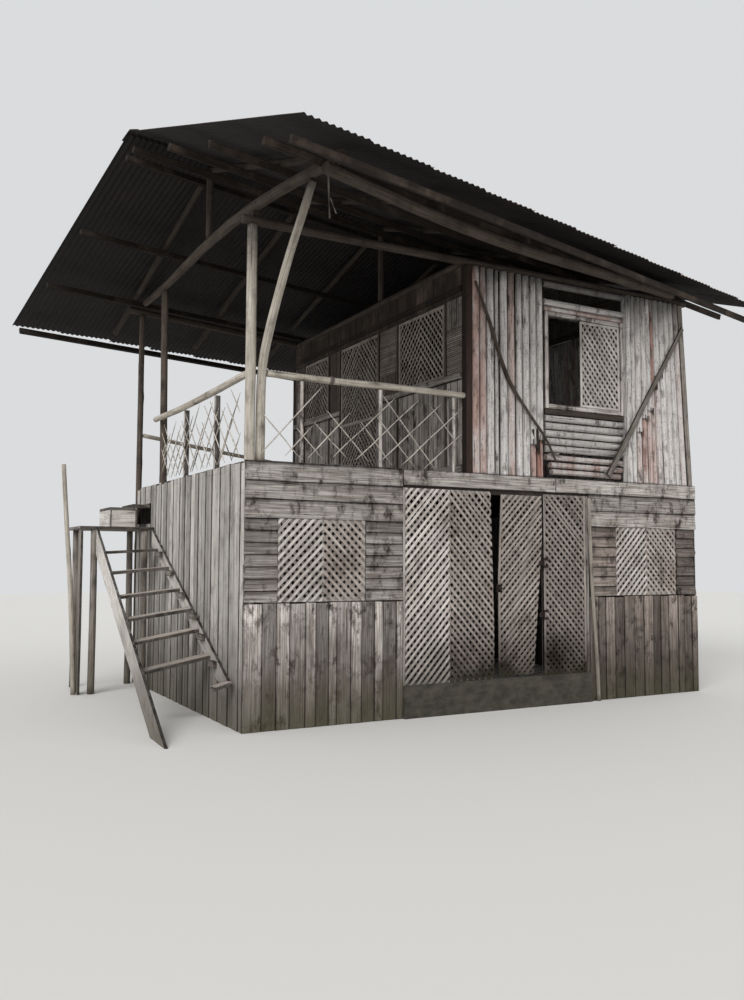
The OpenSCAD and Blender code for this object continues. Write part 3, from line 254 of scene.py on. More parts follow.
# Light, middle and dark tone of each timber, and how much it is cracked, soiled and mouldy
timbers = {
    # front boards, grey-brown with black mould
    "wallBoard": dict(light="#d9d2cc", mid="#857c75", dark="#312a26", crack=0.9, soil=0.75, mould=1.0),
    # side boards, bleached almost white by sun and rain
    "sideBoard": dict(light="#dad5cf", mid="#a8a29b", dark="#5a534d", crack=0.8, soil=0.65, mould=0.45,
                      brown="#8f877d"),
    # boards in the veranda's shade, brown and dry
    "shadedBoard": dict(light="#766b63", mid="#544a44", dark="#272120", crack=0.7, soil=0.4, mould=0.6,
                        brown="#4a3f39"),
    # boards of the right bay, damp, and darkened as painted shade
    "dampBoard": dict(light="#a69a91", mid="#675b54", dark="#231d19", crack=0.8, soil=0.7, mould=1.0,
                      brown="#54453c", earth="#2e2721"),
    # split laths, pale where they dry fast
    "lath": dict(light="#ded8d2", mid="#aba39c", dark="#4d443e", crack=0.3, soil=0.6, mould=0.35),
    # laths that stay damp, browner and soiled at the foot; also the darker copy of lath, painted shade on
    # back laths
    "dampLath": dict(light="#c3b9b1", mid="#8f847c", dark="#2f2622", crack=0.3, soil=1.0, brown="#6b574b",
                     earth="#271f1a"),
    # deck, stair and gable boards, trodden and grey
    "deckTimber": dict(light="#c4bcb2", mid="#8c8279", dark="#433b35", crack=0.7, soil=0.4),
    # peeled poles in the light, straw grey
    "pole": dict(light="#cdc6ba", mid="#a0978a", dark="#4c443c", crack=0.7, soil=0.3, mould=0.4,
                 brown="#8b7d6e"),
    # the room's oiled corner post, near black
    "darkPost": dict(light="#4b3a34", mid="#362823", dark="#1b1412", crack=0.6, brown="#2c211d"),
    # sawn timber right under the roof, near black as painted shade
    "roofTimber": dict(light="#40372f", mid="#2a2320", dark="#161211"),
    # poles under the roof, brown-grey
    "shadedPole": dict(light="#5f554c", mid="#423a34", dark="#201b18", crack=0.6, brown="#3d322c"),
    # beams and joists that stay plain solids, with upright grain, darkened as painted shade
    "shadedSolidTimber": dict(light="#5a5049", mid="#433a34", dark="#2b2420", crack=0.4, soil=0.5, cut="upright"),
}
mats = {name: timber(name, **look) for name, look in timbers.items()}
mats |= {"culm": culm("culm"), "stick": culm("stick", "#cfc8be", "#a39a8f", "#a08a78"),
         "sheet": rustySheet("sheet"), "mat": plaited("mat"), "concrete": concrete("concrete"),
         "iron": iron("iron")}
print("materials", len(mats))


# Shapes

# A piece starts with its own random draws and an empty mesh with grain, tone and marks on it; the marks carry
# dirt and painted shade
def begin(seed):
    bm = bmesh.new()
    bm.loops.layers.uv.new("grain")
    bm.verts.layers.float.new("tone")
    bm.verts.layers.float.new("mark")
    return random.Random(seed), bm


def done(bm, name, material, replaced=None, body="house"):
    bmesh.ops.recalc_face_normals(bm, faces=bm.faces)
    mesh = bpy.data.meshes.new(name)
    bm.to_mesh(mesh)
    bm.free()
    obj = bpy.data.objects.new(name, mesh)
    bpy.context.scene.collection.objects.link(obj)
    for key in material.split():
        mesh.materials.append(mats[key])
    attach(obj, body)
    if replaced:
        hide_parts(replaced)


# Wraps a grid over rings of points and closes its ends; UV in metres, along and around
def loft(bm, rings, tone=0.5, marks=None, smooth=False, material=0, shift=0.0, closed=True):
    uv = bm.loops.layers.uv["grain"]
    toneLayer, markLayer = bm.verts.layers.float["tone"], bm.verts.layers.float["mark"]
    count, last = len(rings[0]), len(rings) - 1
    around, along = [0.0], [shift]
    for i in range(count):
        around.append(around[-1] + (rings[0][(i + 1) % count] - rings[0][i]).length)
    for k in range(last):
        along.append(along[-1] + (rings[k + 1][0] - rings[k][0]).length)
    grid = bmesh.ops.create_grid(bm, x_segments=count, y_segments=last, size=0.5)["verts"]
    placeOf = {vert: (round((vert.co.x + 0.5) * count), round((vert.co.y + 0.5) * last)) for vert in grid}
    for vert, (i, k) in placeOf.items():
        vert.co = rings[k][i % count]
        vert[toneLayer] = tone
        mark = marks[k] if marks else 0.0
        vert[markLayer] = mark[i % count] if isinstance(mark, (list, tuple)) else mark
        for loop in vert.link_loops:
            loop[uv].uv = (along[k], around[i] + shift * 0.31)
            loop.face.smooth, loop.face.material_index = smooth, material
    vertAt = {place: vert for vert, place in placeOf.items()}
    bmesh.ops.weld_verts(bm, targetmap={vertAt[count, k]: vertAt[0, k] for k in range(last + 1)})
    if closed:
        for k, place in ((0, 0.0), (last, 0.4)):
            cap = bm.faces.new([vertAt[i, k] for i in range(count)])
            cap.material_index = material
            first = vertAt[0, k].co
            for loop in cap.loops:
                offset = loop.vert.co - first
                loop[uv].uv = (shift + place + offset.x * 0.7 + offset.y, shift + offset.z + offset.y * 0.5)


# Turned shape over (radius, height) steps along local Z
def turned(bm, at, steps, sides, tone, smooth=False, material=0, closed=True):
    angles = [2 * math.pi * i / sides for i in range(sides)]
    loft(bm, [[at @ Vector((r * math.cos(a), r * math.sin(a), h)) for a in angles] for r, h in steps], tone,
         smooth=smooth, material=material, closed=closed)


# Local Z along a board, local Y from its outer face inward
def facing(origin, along, out):
    z = Vector(along).normalized()
    y = -(Vector(out) - z * Vector(out).dot(z)).normalized()
    return Matrix.Translation(origin) @ Matrix((y.cross(z), y, z)).transposed().to_4x4()


# One board: width along local X, thickness along Y from its outer face, length along Z. A profile gives
# the dirt and painted shade across the outer face, at distances from its low edge or, if negative, from its
# high edge; by default both edges darken, painted shade in the gaps between boards along with dirt
edgeDirtAndShade = ((0.0, 0.75), (0.010, 0.0), (-0.010, 0.0), (-0.0001, 0.75))


def plank(bm, at, width, thick, length, rng, tone=None, wave=0.003, ragged=0.004, bow=0.003, taper=0.0,
          edge=0.002, step=0.28, material=0, profile=edgeDirtAndShade):
    count = max(2, round(length / step))
    phase = rng.uniform(0, 90)
    rings, marks = [], []
    for k in range(count + 1):
        z = length * k / count
        a = wave * noise.noise((phase, z * 2.1, 0.3)) + taper * k / count
        b = width + wave * noise.noise((phase + 9, z * 2.1, 0.3)) - taper * k / count
        c = bow * noise.noise((phase + 5, z * 1.1, 0.7))
        face = [(a + edge + place if place >= 0 else b - edge + place, c, mark) for place, mark in profile]
        # the sides and the back of the board are darkened by their marks: painted shade
        section = face + [(b, c + edge, 0.9), (b, c + thick - edge, 0.9), (b - edge, c + thick, 0.5),
                          (a + edge, c + thick, 0.5), (a, c + thick - edge, 0.9), (a, c + edge, 0.9)]
        end = ragged if k in (0, count) else 0.0
        inward = 1 if k == 0 else -1
        rings.append([at @ Vector((x, y, z + inward * rng.uniform(0, end))) for x, y, mark in section])
        marks.append([mark for x, y, mark in section])
    if tone is None:
        tone = rng.uniform(0.2, 0.8)
    loft(bm, rings, tone, marks, material=material, shift=rng.uniform(0, 60))


# Even curve through the points, with the radii between them
def smoothPath(points, radii, step):
    points = [Vector(p) for p in points]
    out = []
    for i in range(len(points) - 1):
        a, b = points[i], points[i + 1]
        before = points[i - 1] if i else a + (a - b)
        after = points[i + 2] if i + 2 < len(points) else b + (b - a)
        count = max(1, round((b - a).length / step))
        for k in range(count):
            t = k / count
            p = 0.5 * (2 * a + (b - before) * t + (2 * before - 5 * a + 4 * b - after) * t * t
                       + (3 * a - before - 3 * b + after) * t ** 3)
            out.append((p, radii[i] + (radii[i + 1] - radii[i]) * t))
    out.append((points[-1], radii[-1]))
    return out


# A natural pole, not quite round or straight, with a few knots; dark is the length below the top over which
# painted shade darkens it
def pole(bm, points, radii, rng, tone=None, sides=14, step=0.11, lumps=0.05, sway=0.006, knots=5, material=0,
         dark=0.0):
    path = smoothPath(points, radii, step)
    phase = rng.uniform(0, 80)
    length = sum((path[k + 1][0] - path[k][0]).length for k in range(len(path) - 1))
    knotList = [(rng.uniform(0.04, 0.96) * length, rng.uniform(0, 2 * math.pi), rng.uniform(0.08, 0.2))
                for i in range(knots)]
    side = None
    rings, marks = [], []
    run = 0.0
    for k, (centre, radius) in enumerate(path):
        tangent = (path[min(k + 1, len(path) - 1)][0] - path[max(k - 1, 0)][0]).normalized()
        if side is None:
            side = tangent.orthogonal().normalized()
        side = (side - tangent * side.dot(tangent)).normalized()
        other = tangent.cross(side)
        if k:
            run += (centre - path[k - 1][0]).length
        fade = sway * min(1.0, 3 * min(run, length - run) / length)
        offset = (side * noise.noise((phase, run * 0.9, 0))
                  + other * noise.noise((phase + 7, run * 0.9, 0))) * fade
        ring, markRow = [], []
        for i in range(sides):
            angle = 2 * math.pi * i / sides
            grow = lumps * noise.noise((phase + math.cos(angle) * 0.9, math.sin(angle) * 0.9, run * 2.2))
            spot = 0.0
            for at, where, size in knotList:
                near = math.exp(-((run - at) / 0.05) ** 2) * max(0.0, math.cos(angle - where)) ** 4
                grow += size * near
                spot = max(spot, near)
            out = side * math.cos(angle) + other * math.sin(angle)
            ring.append(centre + offset + out * radius * (1 + grow))
            # knots darken the pole, and within dark of the top a painted shade deepens upwards
            markRow.append(max(spot * 0.8, 0.75 - 0.75 * (length - run) / dark if dark else 0.0))
        rings.append(ring)
        marks.append(markRow)
    loft(bm, rings, rng.uniform(0.35, 0.7) if tone is None else tone, marks, True, material,
         rng.uniform(0, 60))


# A bamboo culm: (distance from a joint, width, dirt) at its ends and about each joint
culmJoint = ((-0.014, 0.985, 0.0), (-0.003, 1.0, 0.18), (0.0, 1.035, 0.22), (0.006, 1.0, 0.0),
             (0.03, 0.99, 0.0))


# a culm's base mark darkens it all over: dirt, and painted shade for a culm that lies in shade
def bamboo(bm, a, b, radius, rng, tone=None, sides=12, pitch=0.55, endRadius=None, flat=1.0, sway=0.004,
           dirtAndShade=0.0):
    a, b = Vector(a), Vector(b)
    axis = b - a
    length = axis.length
    axis.normalize()
    side = axis.cross(toRear if abs(axis.y) < 0.9 else toRight).normalized()
    other = axis.cross(side)
    endRadius = radius if endRadius is None else endRadius
    stations = [(0.0, 1.0, 0.5), (0.02, 1.0, 0.0)]
    z = rng.uniform(0.08, pitch)
    while z < length - 0.08:
        stations += [(z + offset, grow, mark) for offset, grow, mark in culmJoint]
        z += pitch * rng.uniform(0.6, 1.4)
    stations.append((length, 1.0, 0.3))
    phase = rng.uniform(0, 70)
    ovalTurn = rng.uniform(0, math.pi)
    rings, marks = [], []
    for z, grow, mark in stations:
        r = (radius + (endRadius - radius) * z / length) * grow * 0.965
        bend = sway * noise.noise((phase, z * 0.8, 0)) * min(1, 4 * z / length, 4 * (1 - z / length))
        centre = a + axis * z + side * bend
        ring = []
        for i in range(sides):
            angle = 2 * math.pi * i / sides
            oval = r * (1 - 0.03 * math.cos(2 * (angle - ovalTurn)))
            ring.append(centre + side * math.cos(angle) * oval + other * math.sin(angle) * oval * flat)
        rings.append(ring)
        marks.append(max(mark, dirtAndShade))
    loft(bm, rings, rng.uniform(0.25, 0.55) if tone is None else tone, marks, True, shift=rng.uniform(0, 60))


# A flat piece cut to an outline in the local plane of X and Z, with its thickness from y0 to y1
def cutFlat(bm, at, outline, y0, y1, direction, tone, shift, material=0, mark=0.0):
    uv = bm.loops.layers.uv["grain"]
    layers = bm.verts.layers.float
    face = bm.faces.new([bm.verts.new((x, y0, z)) for x, z in outline])
    face.material_index = material
    grown = bmesh.ops.extrude_face_region(bm, geom=[face])["geom"]
    grown = [part for part in grown if isinstance(part, bmesh.types.BMVert)]
    bmesh.ops.translate(bm, verts=grown, vec=(0, y1 - y0, 0))
    verts = list(face.verts) + grown
    for vert in verts:
        vert[layers["tone"]], vert[layers["mark"]] = tone, mark
        x, z = vert.co.x, vert.co.z
        for loop in vert.link_loops:
            loop[uv].uv = (shift + x * direction[0] + z * direction[1],
                           shift * 0.3 - x * direction[1] + z * direction[0])
    bmesh.ops.transform(bm, matrix=at, verts=verts)


# A straight flat piece from corner to corner, between the two depths
def band(bm, at, x0, z0, x1, z1, depths, rng, tone, material=0, mark=0.0):
    tall = abs(z1 - z0) > abs(x1 - x0)
    cutFlat(bm, at, [(x0, z0), (x1, z0), (x1, z1), (x0, z1)], *depths, (0, 1) if tall else (1, 0), tone,
            rng.uniform(0, 50), material, mark)


# Two layers of split laths, cut with planes along a convex outline. A band has its ends in X, the way its
# front laths rise, and for its front and back laths two tones and a material; the back laths get the lower
# tones as painted shade behind the front layer
def lattice(bm, at, outline, bands, rng, pitch=0.086, width=0.031, depth=0.002, slope=1.1, thick=0.004):
    uv = bm.loops.layers.uv["grain"]
    toneLayer = bm.verts.layers.float["tone"]
    low, high = min(z for x, z in outline), max(z for x, z in outline)
    angle = math.atan(slope)
    long = (high - low) / math.sin(angle) + 0.4
    for x0, x1, sign, *looks in bands:
        geom = []
        for layer, way, (*tones, material) in ((0, sign, looks[0]), (1, -sign, looks[1])):
            count = int(((x1 - x0) + (high - low) / slope) / pitch) + 2
            start = x0 - ((high - low) / slope if way > 0 else 0.0)
            for k in range(count):
                x = start + (k + 0.5 + rng.uniform(-0.03, 0.03)) * pitch
                wide, shift = width * rng.uniform(0.95, 1.05), rng.uniform(0, 50)
                lath = bmesh.ops.create_cube(bm, size=1.0)["verts"]
                tone = rng.uniform(*tones)
                for vert in lath:
                    vert[toneLayer] = tone
                    for loop in vert.link_loops:
                        loop[uv].uv = (shift + vert.co.x * long, shift * 0.3 + vert.co.z * wide)
                        loop.face.material_index = material
                y = depth + (layer + 0.5) * thick + rng.uniform(0, 0.0005)
                lean = angle + rng.uniform(-0.003, 0.003)
                tilt = Matrix.Rotation(-lean if way > 0 else lean - math.pi, 4, "Y")
                bmesh.ops.transform(bm, verts=lath, matrix=(
                    Matrix.Translation((x, y, low)) @ tilt
                    @ Matrix.Translation((long / 2 - 0.2, 0, 0)) @ Matrix.Diagonal((long, thick, wide, 1))))
                geom += [part for vert in lath for part in [vert] + list(vert.link_edges)
                         + list(vert.link_faces)]
        geom = list(dict.fromkeys(geom))
        cuts = [((x0, low), (0, -1)), ((x1, low), (0, 1))]
        cuts += [(a, (b[0] - a[0], b[1] - a[1])) for a, b in zip(outline, outline[1:] + outline[:1])]
        for (x, z), (dx, dz) in cuts:
            result = bmesh.ops.bisect_plane(bm, geom=geom, plane_co=(x, 0, z), plane_no=(dz, 0, -dx),
                                            clear_outer=True)
            edges = [part for part in result["geom_cut"] if isinstance(part, bmesh.types.BMEdge)]
            caps = bmesh.ops.edgeloop_fill(bm, edges=edges, mat_nr=material)["faces"] if edges else []
            geom = [part for part in result["geom"] if part.is_valid] + caps
        bmesh.ops.transform(bm, matrix=at, verts=[part for part in geom
                                                  if isinstance(part, bmesh.types.BMVert)])


# Nail heads, flattened cones at places on a board's face
def nails(bm, at, spots, size=0.005, material=0):
    layers = bm.verts.layers.float
    outward = Matrix.Rotation(math.pi / 2, 4, "X")
    for x, z in spots:
        head = bmesh.ops.create_cone(bm, cap_ends=True, segments=6, radius1=size, radius2=size * 0.6,
                                     depth=0.003, matrix=at @ Matrix.Translation((x, -0.0003, z)) @ outward)
        for vert in head["verts"]:
            vert[layers["tone"]], vert[layers["mark"]] = 0.3, 1.0
            for face in vert.link_faces:
                face.material_index = material


# A row of upright boards; a plan gives the first widths and tones, a hole its two sides, foot and head
def uprightBoards(bm, at, length, height, rng, widths, jitter=0.01, gap=0.003, tone=(0.2, 0.8), plan=(),
                  hole=None):
    x = 0.0
    number = 0
    while x < length - 0.02:
        width = min(rng.uniform(*widths), length - x)
        tones = tone
        if number < len(plan):
            width, tones = min(plan[number][0], length - x), (plan[number][1], plan[number][1])
        if length - x - width < widths[0] * 0.5:
            width = length - x
        inset = (number % 2) * 0.005 + rng.uniform(0, 0.0015)
        peak = height - rng.uniform(0, jitter)
        spans = [(0.0, peak)]
        if hole and x + width > hole[0] and x < hole[1]:
            spans = [(0.0, hole[2] + rng.uniform(-0.01, 0.01)), (hole[3] + rng.uniform(-0.01, 0.01), peak)]
        for a, b in spans:
            plank(bm, at @ Matrix.Translation((x + gap / 2, inset, a)), width - gap, 0.017, b - a, rng,
                  rng.uniform(*tones), wave=0.0025, bow=0.002, ragged=0.003 if b < peak else 0.006)
            nails(bm, at @ Matrix.Translation((x, inset, 0)),
                  [(width * part, z) for z in (a + 0.06, b - 0.07) for part in (0.25, 0.75)])
        x += width
        number += 1


# Boards that lap from the bottom up, with dirt and painted shade under each lap; trim shortens their two ends
def lappedBoards(bm, at, length, count, high, rng, ragged=0.012, tone=(0.2, 0.8), over=0.014, material=0,
                 trim=None):
    hidden = min(over, 0.21 - high)
    dirtAndShade = ((0.0, 0.0), (-hidden - 0.06, 0.0), (-hidden - 0.022, 0.35), (-hidden - 0.004, 1.0),
            (-0.0001, 1.0))
    lean = Matrix.Rotation(math.atan2(0.010, high), 4, "Z")
    for k in range(count):
        z = k * high
        askew = Matrix.Rotation(rng.uniform(-0.003, 0.003), 4, "Y")
        a, b = trim(k) if trim else (0.0, 0.0)
        plank(bm, at @ Matrix.Translation((z - 0.001, 0.0006, a)) @ lean @ askew, high + hidden, 0.012,
              length - a - b, rng, rng.uniform(*tone), wave=0.008, ragged=ragged, bow=0.001, step=0.16,
              profile=dirtAndShade, material=material)
        nails(bm, at @ Matrix.Translation((z, 0.001, 0)) @ lean,
              [(high * 0.3, 0.03), (high * 0.3, length - 0.03)])


# Front of the ground floor

# Ends of the bays and windows, heights of the rows, and the left foot boards' widths and tones
front = {"leftEnd": 1.8027, "doorEnd": 4.5257, "windowLeft": (0.2957, 1.3247),
         "windowRight": (4.9907, 6.0607), "foot": 1.3, "short": 1.306, "long": 2.18, "shortRows": (7, 0.1249),
         "plan": ((0.21, 1.0), (0.16, 0.12), (0.15, 0.9), (0.18, 0.45), (0.12, 0.95), (0.15, 0.05),
                  (0.095, 0.95), (0.17, 0.5), (0.13, 0.9), (0.16, 0.02), (0.105, 0.9), (0.17, 0.0),
                  (0.08, 0.55))}
leftEnd, doorEnd = front["leftEnd"], front["doorEnd"]


def onFront(x, z, inset=0.0):
    return facing((x, frontY + inset, z), up, toFront)


def frontRow(xEnd, z):
    return facing((xEnd, frontY, z), toLeft, toFront)


rng, bm = begin("left base")
uprightBoards(bm, onFront(leftX, 0), leftEnd - leftX, front["foot"], rng, (0.12, 0.2), plan=front["plan"])
done(bm, "leftBaseBoards", "wallBoard", "left_bay_base")

rng, bm = begin("right base")
uprightBoards(bm, onFront(doorEnd, 0), rightX - doorEnd, front["foot"], rng, (0.11, 0.18), 0.02, 0.006,
              (0.0, 1.0))
done(bm, "rightBaseBoards", "dampBoard", "right_bay_base")

# Lapped boards of both bays: right end, foot, length, rows and their height, looks
rng, bm = begin("left bay")
for x, z, length, rows, look in (
        (front["windowLeft"][0], front["short"], 0.379, front["shortRows"], {"tone": (0.0, 0.3)}),
        (leftEnd - 0.001, front["short"], leftEnd - front["windowLeft"][1] - 0.002, front["shortRows"],
         {"tone": (0.0, 0.3)}),
        (leftEnd, front["long"], 1.886, (3, 0.1967), {"over": 0.008, "tone": (0.1, 0.35)})):
    lappedBoards(bm, frontRow(x, z), length, *rows, rng, **look)
done(bm, "leftBayBoards", "wallBoard", "left_bay_boards")

rng, bm = begin("right bay")
for x, z, length, rows, look in (
        (front["windowRight"][0], front["short"], 0.463, front["shortRows"],
         {"ragged": 0.02, "tone": (0.3, 1.0), "material": 1,
          "trim": lambda k: (0.0, 0.02 + 0.012 * (k % 3))}),
        (rightX, front["short"], rightX - front["windowRight"][1], front["shortRows"],
         {"ragged": 0.04, "tone": (0.0, 0.3), "material": 1, "trim": lambda k: (0.01 + 0.02 * (k % 2), 0.0)}),
        (rightX, front["long"], 1.924, (2, 0.2058), {"over": 0.004, "tone": (0.25, 0.55)})):
    lappedBoards(bm, frontRow(x, z), length, *rows, rng, **look)
done(bm, "rightBayBoards", "wallBoard dampBoard", "right_bay_boards")

# The long edge board, in two lengths: start, length, tone and how ragged its ends are
edgeBoard = {"high": 0.178, "thick": 0.022, "lengths": ((0.0, 2.45, 0.62, 0.01), (2.455, 2.19, 0.5, 0.008))}
rng, bm = begin("edge board")
at = frontRow(rightX, deckZ - edgeBoard["high"])
for start, length, tone, ragged in edgeBoard["lengths"]:
    plank(bm, at @ Matrix.Translation((0, 0, start)), edgeBoard["high"], edgeBoard["thick"], length, rng,
          tone, wave=0.006, ragged=ragged)
nails(bm, at, [(0.05 + 0.08 * (k % 2), 0.1 + k * 0.37) for k in range(12)])
done(bm, "edgeBoard", "wallBoard", "front_fascia")


def sheetOutline(w, h):
    return [(0, 0), (w, 0), (w, h), (0, h)]


# Four bands round a lattice sheet, the uprights first
def rim(bm, at, w, h, wide, depths, rng, uprightTone, levelTone):
    for x in (0.0, w - wide):
        band(bm, at, x, 0, x + wide, h, depths, rng, uprightTone)
    for z in (0.0, h - wide):
        band(bm, at, wide, z, w - wide, z + wide, depths, rng, levelTone)


windowSheet = {"high": 0.872, "foot": 1.307, "inset": 0.006, "pitch": 0.092, "lath": 0.033, "depth": 0.003,
               "slope": 1.02, "rim": 0.03, "rimDepths": (0.0115, 0.0145)}
for name, node, (x0, x1) in (("leftWindowLattice", "left_lattice", front["windowLeft"]),
                             ("rightWindowLattice", "right_lattice", front["windowRight"])):
    rng, bm = begin(name)
    w, h = x1 - x0 - 0.002, windowSheet["high"]
    at = onFront(x0 + 0.001, windowSheet["foot"], windowSheet["inset"])
    # back laths toned lower than the front laths: painted shade behind the front layer
    lattice(bm, at, sheetOutline(w, h), [(0, w / 2, 1, (0.5, 0.75, 0), (0.1, 0.25, 1)),
                                         (w / 2, w, -1, (0.6, 0.8, 1), (0.3, 0.45, 1))],
            rng, windowSheet["pitch"], windowSheet["lath"], windowSheet["depth"], windowSheet["slope"])
    rim(bm, at, w, h, windowSheet["rim"], windowSheet["rimDepths"], rng, 0.1, 0.1)
    done(bm, name, "lath dampLath", node)

# Door bay: two fixed sheets, the leaf on its hinges, one more fixed sheet
door = {"z": 0.3603, "h": 2.2024, "latticeY": -0.0746, "hingeX": 3.7997, "hingeY": -0.0846, "left": 1.803,
        "right": 3.0577, "leaf": 3.1177, "leafWidth": 0.675, "rightSheet": 3.8067, "rightEnd": 4.4732,
        "gap": 0.025, "behind": (0.0108, 0.0138), "before": (-0.006, 0.002), "hinges": (1.06, 1.69),
        "knob": (3.12, 1.418)}
behind, before = door["behind"], door["before"]


def onDoor(x, z):
    return facing((x, door["latticeY"], z), up, toFront)


rng, bm = begin("door left")
at = onDoor(door["left"], door["z"])
w, h = door["right"] - door["left"], door["h"]
# back laths toned lower than the front laths: painted shade behind the front layer
lattice(bm, at, [(0.02, 0), (w - 0.001, 0), (w - 0.001, 0.6), (w - 0.045, h), (0, h)],
        [(0, w / 2, 1, (0.75, 0.95, 0), (0.25, 0.4, 1)), (w / 2, w, -1, (0.5, 0.7, 1), (0.1, 0.25, 1))], rng)
band(bm, at, 0, 0, 0.028, h, before, rng, 0.3)
band(bm, at, 0.03, h - 0.03, w - 0.05, h, behind, rng, 0.1)
band(bm, at, 0.03, 0.0, w - 0.03, 0.03, behind, rng, 0.0)
done(bm, "doorLatticeLeft", "lath dampLath", "door_lattice_left")

rng, bm = begin("door right")
at = onDoor(door["rightSheet"], door["z"])
w = door["rightEnd"] - door["rightSheet"]
# back laths toned lower than the front laths: painted shade behind the front layer
lattice(bm, at, sheetOutline(w, h), [(0, w, -1, (0.22, 0.42, 0), (0.0, 0.12, 0))], rng, 0.09, slope=1.03)
band(bm, at, 0.0, 0.0, 0.022, h, (-0.002, 0.002), rng, 0.35)
band(bm, at, w - 0.03, 0, w, h, before, rng, 0.55)
band(bm, at, 0.03, h - 0.03, w - 0.03, h, behind, rng, 0.1)
band(bm, at, 0.03, 0.0, w - 0.03, 0.03, behind, rng, 0.0)
done(bm, "doorLatticeRight", "dampLath lath", "door_lattice_right")

# The leaf: its free side leans, its hinge side tapers to the foot
rng, bm = begin("leaf")
at = onDoor(door["leaf"], door["z"] + door["gap"])
w, h = door["leafWidth"], door["h"] - 2 * door["gap"]
# back laths toned near black: painted shade behind the front layer
lattice(bm, at, [(0.0, 0), (w - 0.15, 0), (w - 0.012, 1.62), (w - 0.012, h), (0.045, h), (0.0, 1.2)],
        [(0, w, 1, (0.48, 0.72, 0), (0.0, 0.08, 0))], rng, 0.085, slope=1.02)
cutFlat(bm, at, [(0, 0), (0.028, 0), (0.028, 1.2), (0.07, h), (0.042, h), (0.0, 1.2)], -0.004, 0.002, (0, 1),
        0.4, 3.0)
# the free side's rail is black by its marks: painted shade, the dark gap beside the leaf; the foot rail is
# darkened the same way
band(bm, at, w - 0.014, 0, w, h, behind, rng, 0.0, mark=1.0)
band(bm, at, 0.03, 0.0, w - 0.014, 0.02, behind, rng, 0.0, mark=1.0)
band(bm, at, 0.06, h - 0.04, w - 0.014, h, behind, rng, 0.1)
cutFlat(bm, at, [(0.05, 0.05), (0.12, 0.05), (w - 0.04, h - 0.05), (w - 0.1, h - 0.05)], *behind, (0.3, 0.95),
        0.0, 8.0)
for z in door["hinges"]:
    at = facing((door["hingeX"], door["hingeY"], z), up, toFront)
    turned(bm, at, ((0.01, 0), (0.01, 0.06), (0.0051, 0.06), (0.0051, 0), (0.01, 0)), 24, 0.5, material=1,
           closed=False)
    plate = facing((door["hingeX"] - 0.07, door["hingeY"] + 0.0057, z), up, toFront)
    cutFlat(bm, plate, [(0, 0.018), (0.012, 0.0), (0.07, 0.0), (0.07, 0.06), (0.012, 0.06), (0, 0.042)], 0,
            0.004, (1, 0), 0.5, 1, 1)
    nails(bm, plate, [(0.015, 0.03), (0.035, 0.014), (0.035, 0.046)], 0.004, 1)
# A round latch knob on its plate by the free side
at = onDoor(*door["knob"])
cutFlat(bm, at, [(-0.03, -0.045), (0.03, -0.045), (0.03, 0.045), (-0.03, 0.045)], -0.004, 0.001, (0, 1), 0.3,
        1, 1)
turned(bm, at @ Matrix.Rotation(math.pi / 2, 4, "X"),
       ((0.012, 0.0), (0.012, 0.018), (0.026, 0.024), (0.03, 0.036), (0.024, 0.046), (0.008, 0.05)), 16, 0.4,
       True, 1)
done(bm, "doorLeaf", "dampLath iron", "door_leaf", "door")

rng, bm = begin("door strip")
plank(bm, onFront(4.474, door["z"]), 0.05, 0.022, door["h"], rng, 0.2, wave=0.004)
done(bm, "doorStrip", "wallBoard", "door_strip")
rng, bm = begin("door prop")
x, y = leftX + 4.61, frontY - 0.026
pole(bm, [(x + 0.11, y, 0.002), (x + 0.088, y, yard + 0.1), (x + 0.018, y, yard + 1.1),
          (x - 0.022, y, yard + 2.113)],
     [0.025, 0.024, 0.023, 0.022], rng, 0.25, 10, lumps=0.03, sway=0.0)
done(bm, "doorProp", "pole", "door_prop")
print("front of the ground floor")

# Other walls of the ground floor; the left one has a low opening by the landing
walls = {"leftEnd": 4.2729, "leftHole": (0.04, 0.72, 2.24, 2.51), "widths": (0.11, 0.18),
         "rearPost": {"x": -0.055, "radius": 0.0425, "beside": 0.006}}
rng, bm = begin("left side")
uprightBoards(bm, facing((leftX, walls["leftEnd"], 0), up, toLeft), walls["leftEnd"] - frontY, deckZ, rng,
              (0.09, 0.17), 0.03, 0.011, (0.1, 1.0), hole=walls["leftHole"])
done(bm, "leftSideBoards", "sideBoard", "side_boards")

cosTurn, sinTurn = math.cos(turn), math.sin(turn)
innerFront = frontY + wall + fit
rng, bm = begin("right side")
length = rearY(rightX) - innerFront - wall / cosTurn - wall * math.tan(turn) - fit
uprightBoards(bm, facing((rightX, innerFront, 0), up, toRight), length, deckZ, rng, walls["widths"], 0.02,
              0.005)
done(bm, "rightSideBoards", "sideBoard", "right_side_boards")

rearAlong, rearOut = Vector((cosTurn, sinTurn, 0)), Vector((-sinTurn, cosTurn, 0))
rearStart = Vector((leftX, site["rearLeftY"], 0))
rearLength = site["width"] / cosTurn
rng, bm = begin("rear")
start = (sum(walls["rearPost"].values()) - leftX) / cosTurn
uprightBoards(bm, facing(rearStart + rearAlong * rearLength, up, rearOut), rearLength - start, deckZ, rng,
              walls["widths"], 0.02, 0.005)
done(bm, "rearBoards", "sideBoard", "rear_boards")
print("walls of the ground floor")

